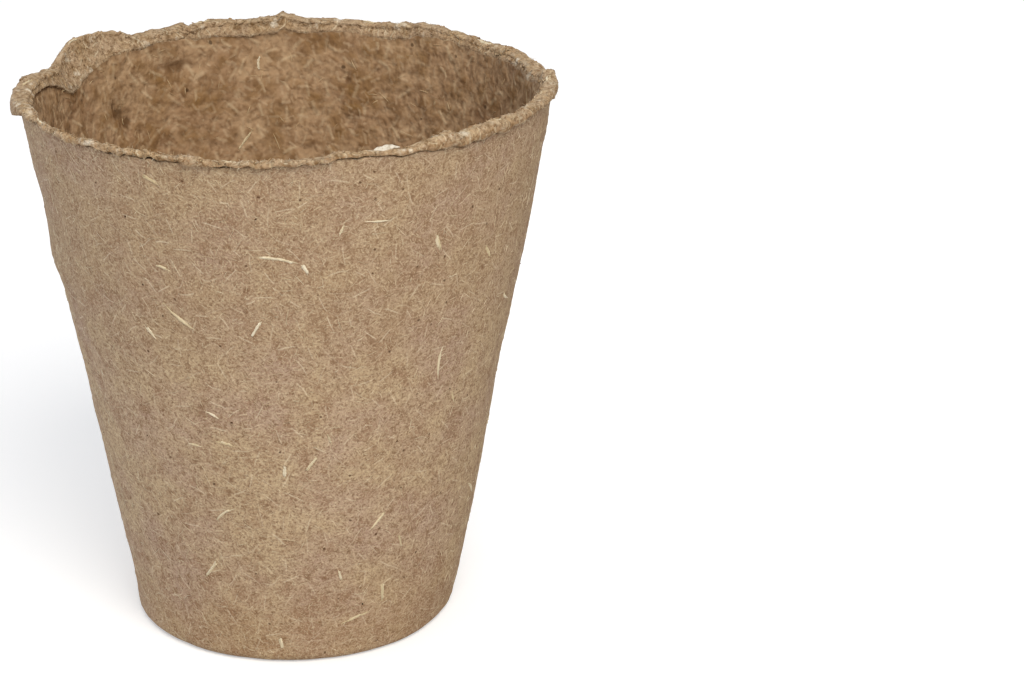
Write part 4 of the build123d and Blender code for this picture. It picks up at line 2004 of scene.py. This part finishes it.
@dataclass(frozen=True)
class TornPaper(Finish):
    """Torn paper: bleached pulp that the beater missed, soft and fibrous along its torn edge."""

    name: str = "torn_paper"
    white: str = "d0c8b8"
    soiled: str = "a89a84"
    fibre: float = 0.35

    def mix(self, tree: NodeTree) -> None:
        """Soil the white paper between its fibres.

        Args:
            tree: The material's tree.
        """
        felt = noise(tree, millimetres(tree), self.fibre, 4.0)
        colour = blend(tree, ramp(tree, felt, 0.45, 0.75, kind="LINEAR"), self.white, self.soiled)
        self.surface(tree, colour, felt, 0.1, {"Roughness": 0.85, "Specular IOR Level": 0.25})


@dataclass(frozen=True)
class Lamp:
    """A soft lamp that points at the pot's middle: bearing, height angle, distance and size in metres."""

    name: str
    bearing: float
    rise: float
    distance: float
    size: float
    power: float
    colour: str


@dataclass(frozen=True)
class Shade:
    """A dimmer side of the room: its direction, where the shade starts and is full, and its colour."""

    way: tuple[float, float, float]
    start: float
    full: float
    colour: str


@dataclass(frozen=True)
class Studio:
    """The white table and the soft lights round it."""

    floor_size: float = 3.0
    floor_colour: str = "dedede"
    floor_lift: float = 0.36
    sky_colour: str = "f0f3f8"
    sky_strength: float = 0.76
    shade = Shade((0.95, -0.05, -0.30), 0.25, 0.62, "3a2206")
    lamps = (
        Lamp("key", 289, 45, 1.2, 0.9, 13.0, "fffaf2"),
        Lamp("window", 157, 1, 1.2, 0.3, 5.4, "cfe0ff"),
    )

    def light(self) -> None:
        """Set up the sky and the lamps."""
        self.sky()
        for lamp in self.lamps:
            self.hang(lamp)

    def sky(self) -> None:
        """Light the room softly from all round, dimmer on one side, and show white to the camera."""
        world = bpy.data.worlds.new("sky")
        world.use_nodes = True
        tree = world.node_tree
        tree.nodes.clear()
        seen = self.seen_rays(tree)
        near = along(tree, add_node(tree, "ShaderNodeTexCoord").outputs["Generated"], self.shade.way)
        dim = ramp(tree, near, self.shade.start, self.shade.full)
        colour = blend(tree, dim, self.sky_colour, self.shade.colour)
        soft = add_node(tree, "ShaderNodeBackground", {0: colour, 1: self.sky_strength}).outputs[0]
        white = add_node(tree, "ShaderNodeBackground", {0: linear("ffffff"), 1: 1.0}).outputs[0]
        mixed = add_node(tree, "ShaderNodeMixShader", {0: seen, 1: soft, 2: white}).outputs[0]
        add_node(tree, "ShaderNodeOutputWorld", {0: mixed})
        bpy.context.scene.world = world

    @staticmethod
    def hang(lamp: Lamp) -> None:
        """Hang one lamp so that it points at the middle of the pot.

        Args:
            lamp: The lamp.
        """
        data = bpy.data.lights.new(lamp.name, "AREA")
        data.shape, data.size, data.energy = "DISK", lamp.size, lamp.power
        data.color = linear(lamp.colour)[:3]
        turn, rise = math.radians(lamp.bearing), math.radians(lamp.rise)
        way = Vector((math.cos(turn) * math.cos(rise), math.sin(turn) * math.cos(rise), math.sin(rise)))
        made = bpy.data.objects.new(lamp.name, data)
        made.location = Vector((0, 0, FORM.height / 2 * MM)) + way * lamp.distance
        made.rotation_euler = way.to_track_quat("Z", "Y").to_euler()
        bpy.context.scene.collection.objects.link(made)

    @staticmethod
    def seen_rays(tree: NodeTree) -> NodeSocket:
        """Tell the rays that show a background from those that only light the scene.

        Args:
            tree: The node tree.

        Returns:
            One for a ray from the camera, a gloss or a clear body, and zero for others.
        """
        rays = add_node(tree, "ShaderNodeLightPath").outputs
        seen = maths(tree, "MAXIMUM", rays["Is Camera Ray"], rays["Is Glossy Ray"])
        return maths(tree, "MAXIMUM", seen, rays["Is Transmission Ray"])

    def floor(self) -> None:
        """Lay the table top, white to the camera, with the pot's soft shadow on it."""
        half = self.floor_size / 2
        mesh = bpy.data.meshes.new("table_top")
        corners = [(-half, -half, 0), (half, -half, 0), (half, half, 0), (-half, half, 0)]
        mesh.from_pydata(corners, [], [(0, 1, 2, 3)])
        material, tree = new_material("white_table")
        lift = product(tree, self.seen_rays(tree), self.floor_lift)
        matt = add_node(tree, "ShaderNodeBsdfDiffuse", {0: linear(self.floor_colour)}).outputs[0]
        glow = add_node(tree, "ShaderNodeEmission", {0: linear("ffffff"), 1: lift}).outputs[0]
        both = add_node(tree, "ShaderNodeAddShader", {0: matt, 1: glow}).outputs[0]
        add_node(tree, "ShaderNodeOutputMaterial", {0: both})
        mesh.materials.append(material)
        made = bpy.data.objects.new("table_top", mesh)
        bpy.context.scene.collection.objects.link(made)


@dataclass(frozen=True)
class Viewpoint:
    """The photograph's camera: place in millimetres, angles in radians and lens in millimetres."""

    back: float = 396.9
    up: float = 194.9
    yaw: float = 0.0849
    pitch: float = 0.3658
    roll: float = 0.0058
    lens: float = 97.19
    film: float = 36.0
    nearest: float = 10.0
    farthest: float = 10000.0

    def place(self) -> None:
        """Make the camera and hand it to the scene."""
        flat = math.cos(self.pitch)
        ahead = Vector((math.sin(self.yaw) * flat, math.cos(self.yaw) * flat, -math.sin(self.pitch)))
        level = Vector((math.cos(self.yaw), -math.sin(self.yaw), 0))
        upright = level.cross(ahead)
        right = math.cos(self.roll) * level + math.sin(self.roll) * upright
        above = -math.sin(self.roll) * level + math.cos(self.roll) * upright
        data = bpy.data.cameras.new("camera")
        data.lens, data.sensor_width = self.lens, self.film
        data.clip_start, data.clip_end = self.nearest * MM, self.farthest * MM
        made = bpy.data.objects.new("camera", data)
        turned = Matrix((right, above, -ahead)).transposed().to_4x4()
        made.matrix_world = Matrix.Translation(Vector((0, -self.back, self.up)) * MM) @ turned
        bpy.context.scene.collection.objects.link(made)
        bpy.context.scene.camera = made


def pot_form() -> PotForm:
    """The pot's shape, with its width taken from the frame."""
    low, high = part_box("pot_body")
    return PotForm(lip_radius=round((high.x - low.x) / 2 / MM, 2))


FORM = pot_form()


def main() -> None:
    """Build the studio and every piece of the pot."""
    logging.basicConfig(level=logging.INFO, format="%(name)s: %(message)s")
    bpy.context.scene.view_settings.view_transform = "Standard"
    Viewpoint().place()
    studio = Studio()
    studio.light()
    studio.floor()

    # Split straw keeps its wax: the brightest bits, with fine streaks along them
    straw = DriedFibre("split_straw", pale="e8ddc4", dull="cdbb96", streak="a8926a")
    # Beaten hairs are a little paler than the felt, so they draw thin lines on it, and duller ones inside
    hair = DriedFibre("pulp_hair", pale="e6d8bb", dull="b89f7c", streak="a98f6b")
    inner_hair = DriedFibre("inner_hair", pale="d2ba92", dull="a48560", streak="907250")
    # Ground bark keeps its cork: dull dark spots that stand out of the pale felt
    bark = BarkCrumb()

    pot = PotBody(FORM).build(PRESSED_FELT, TORN_EDGE, OPEN_FELT)
    ground = Ground(pot)
    LipCrumbs().build(ground, TORN_EDGE)
    for group in (
        StrawGroup("outer_straw", "outer_straw_slivers", 51),
        StrawGroup("inner_straw", "inner_straw_slivers", 52),
        StrawGroup("rim_straw", "rim_straw_slivers", 53),
        StrawGroup("base_straw", "base_straw_slivers", 54),
    ):
        group.build(ground, straw)
    for crumbs in (
        BarkGroup("outer_bark", "outer_bark_flecks", 61),
        BarkGroup("inner_bark", "inner_bark_flecks", 62),
    ):
        crumbs.build(ground, bark)
    PaperChip().build(ground, TornPaper())
    outer_fibres = FibreField("outer_fibres", Zone.OUTER, 4000, (0.5, 4.5), (0.03, 0.06), 0.03, 9, 71)
    outer_fibres.build(ground, hair)
    inner_fibres = FibreField("inner_fibres", Zone.INNER, 700, (1.0, 3.5), (0.08, 0.15), 0.0, 8, 72)
    inner_fibres.build(ground, inner_hair)
    LipFuzz().build(ground, hair)


if __name__ == "__main__":
    main()
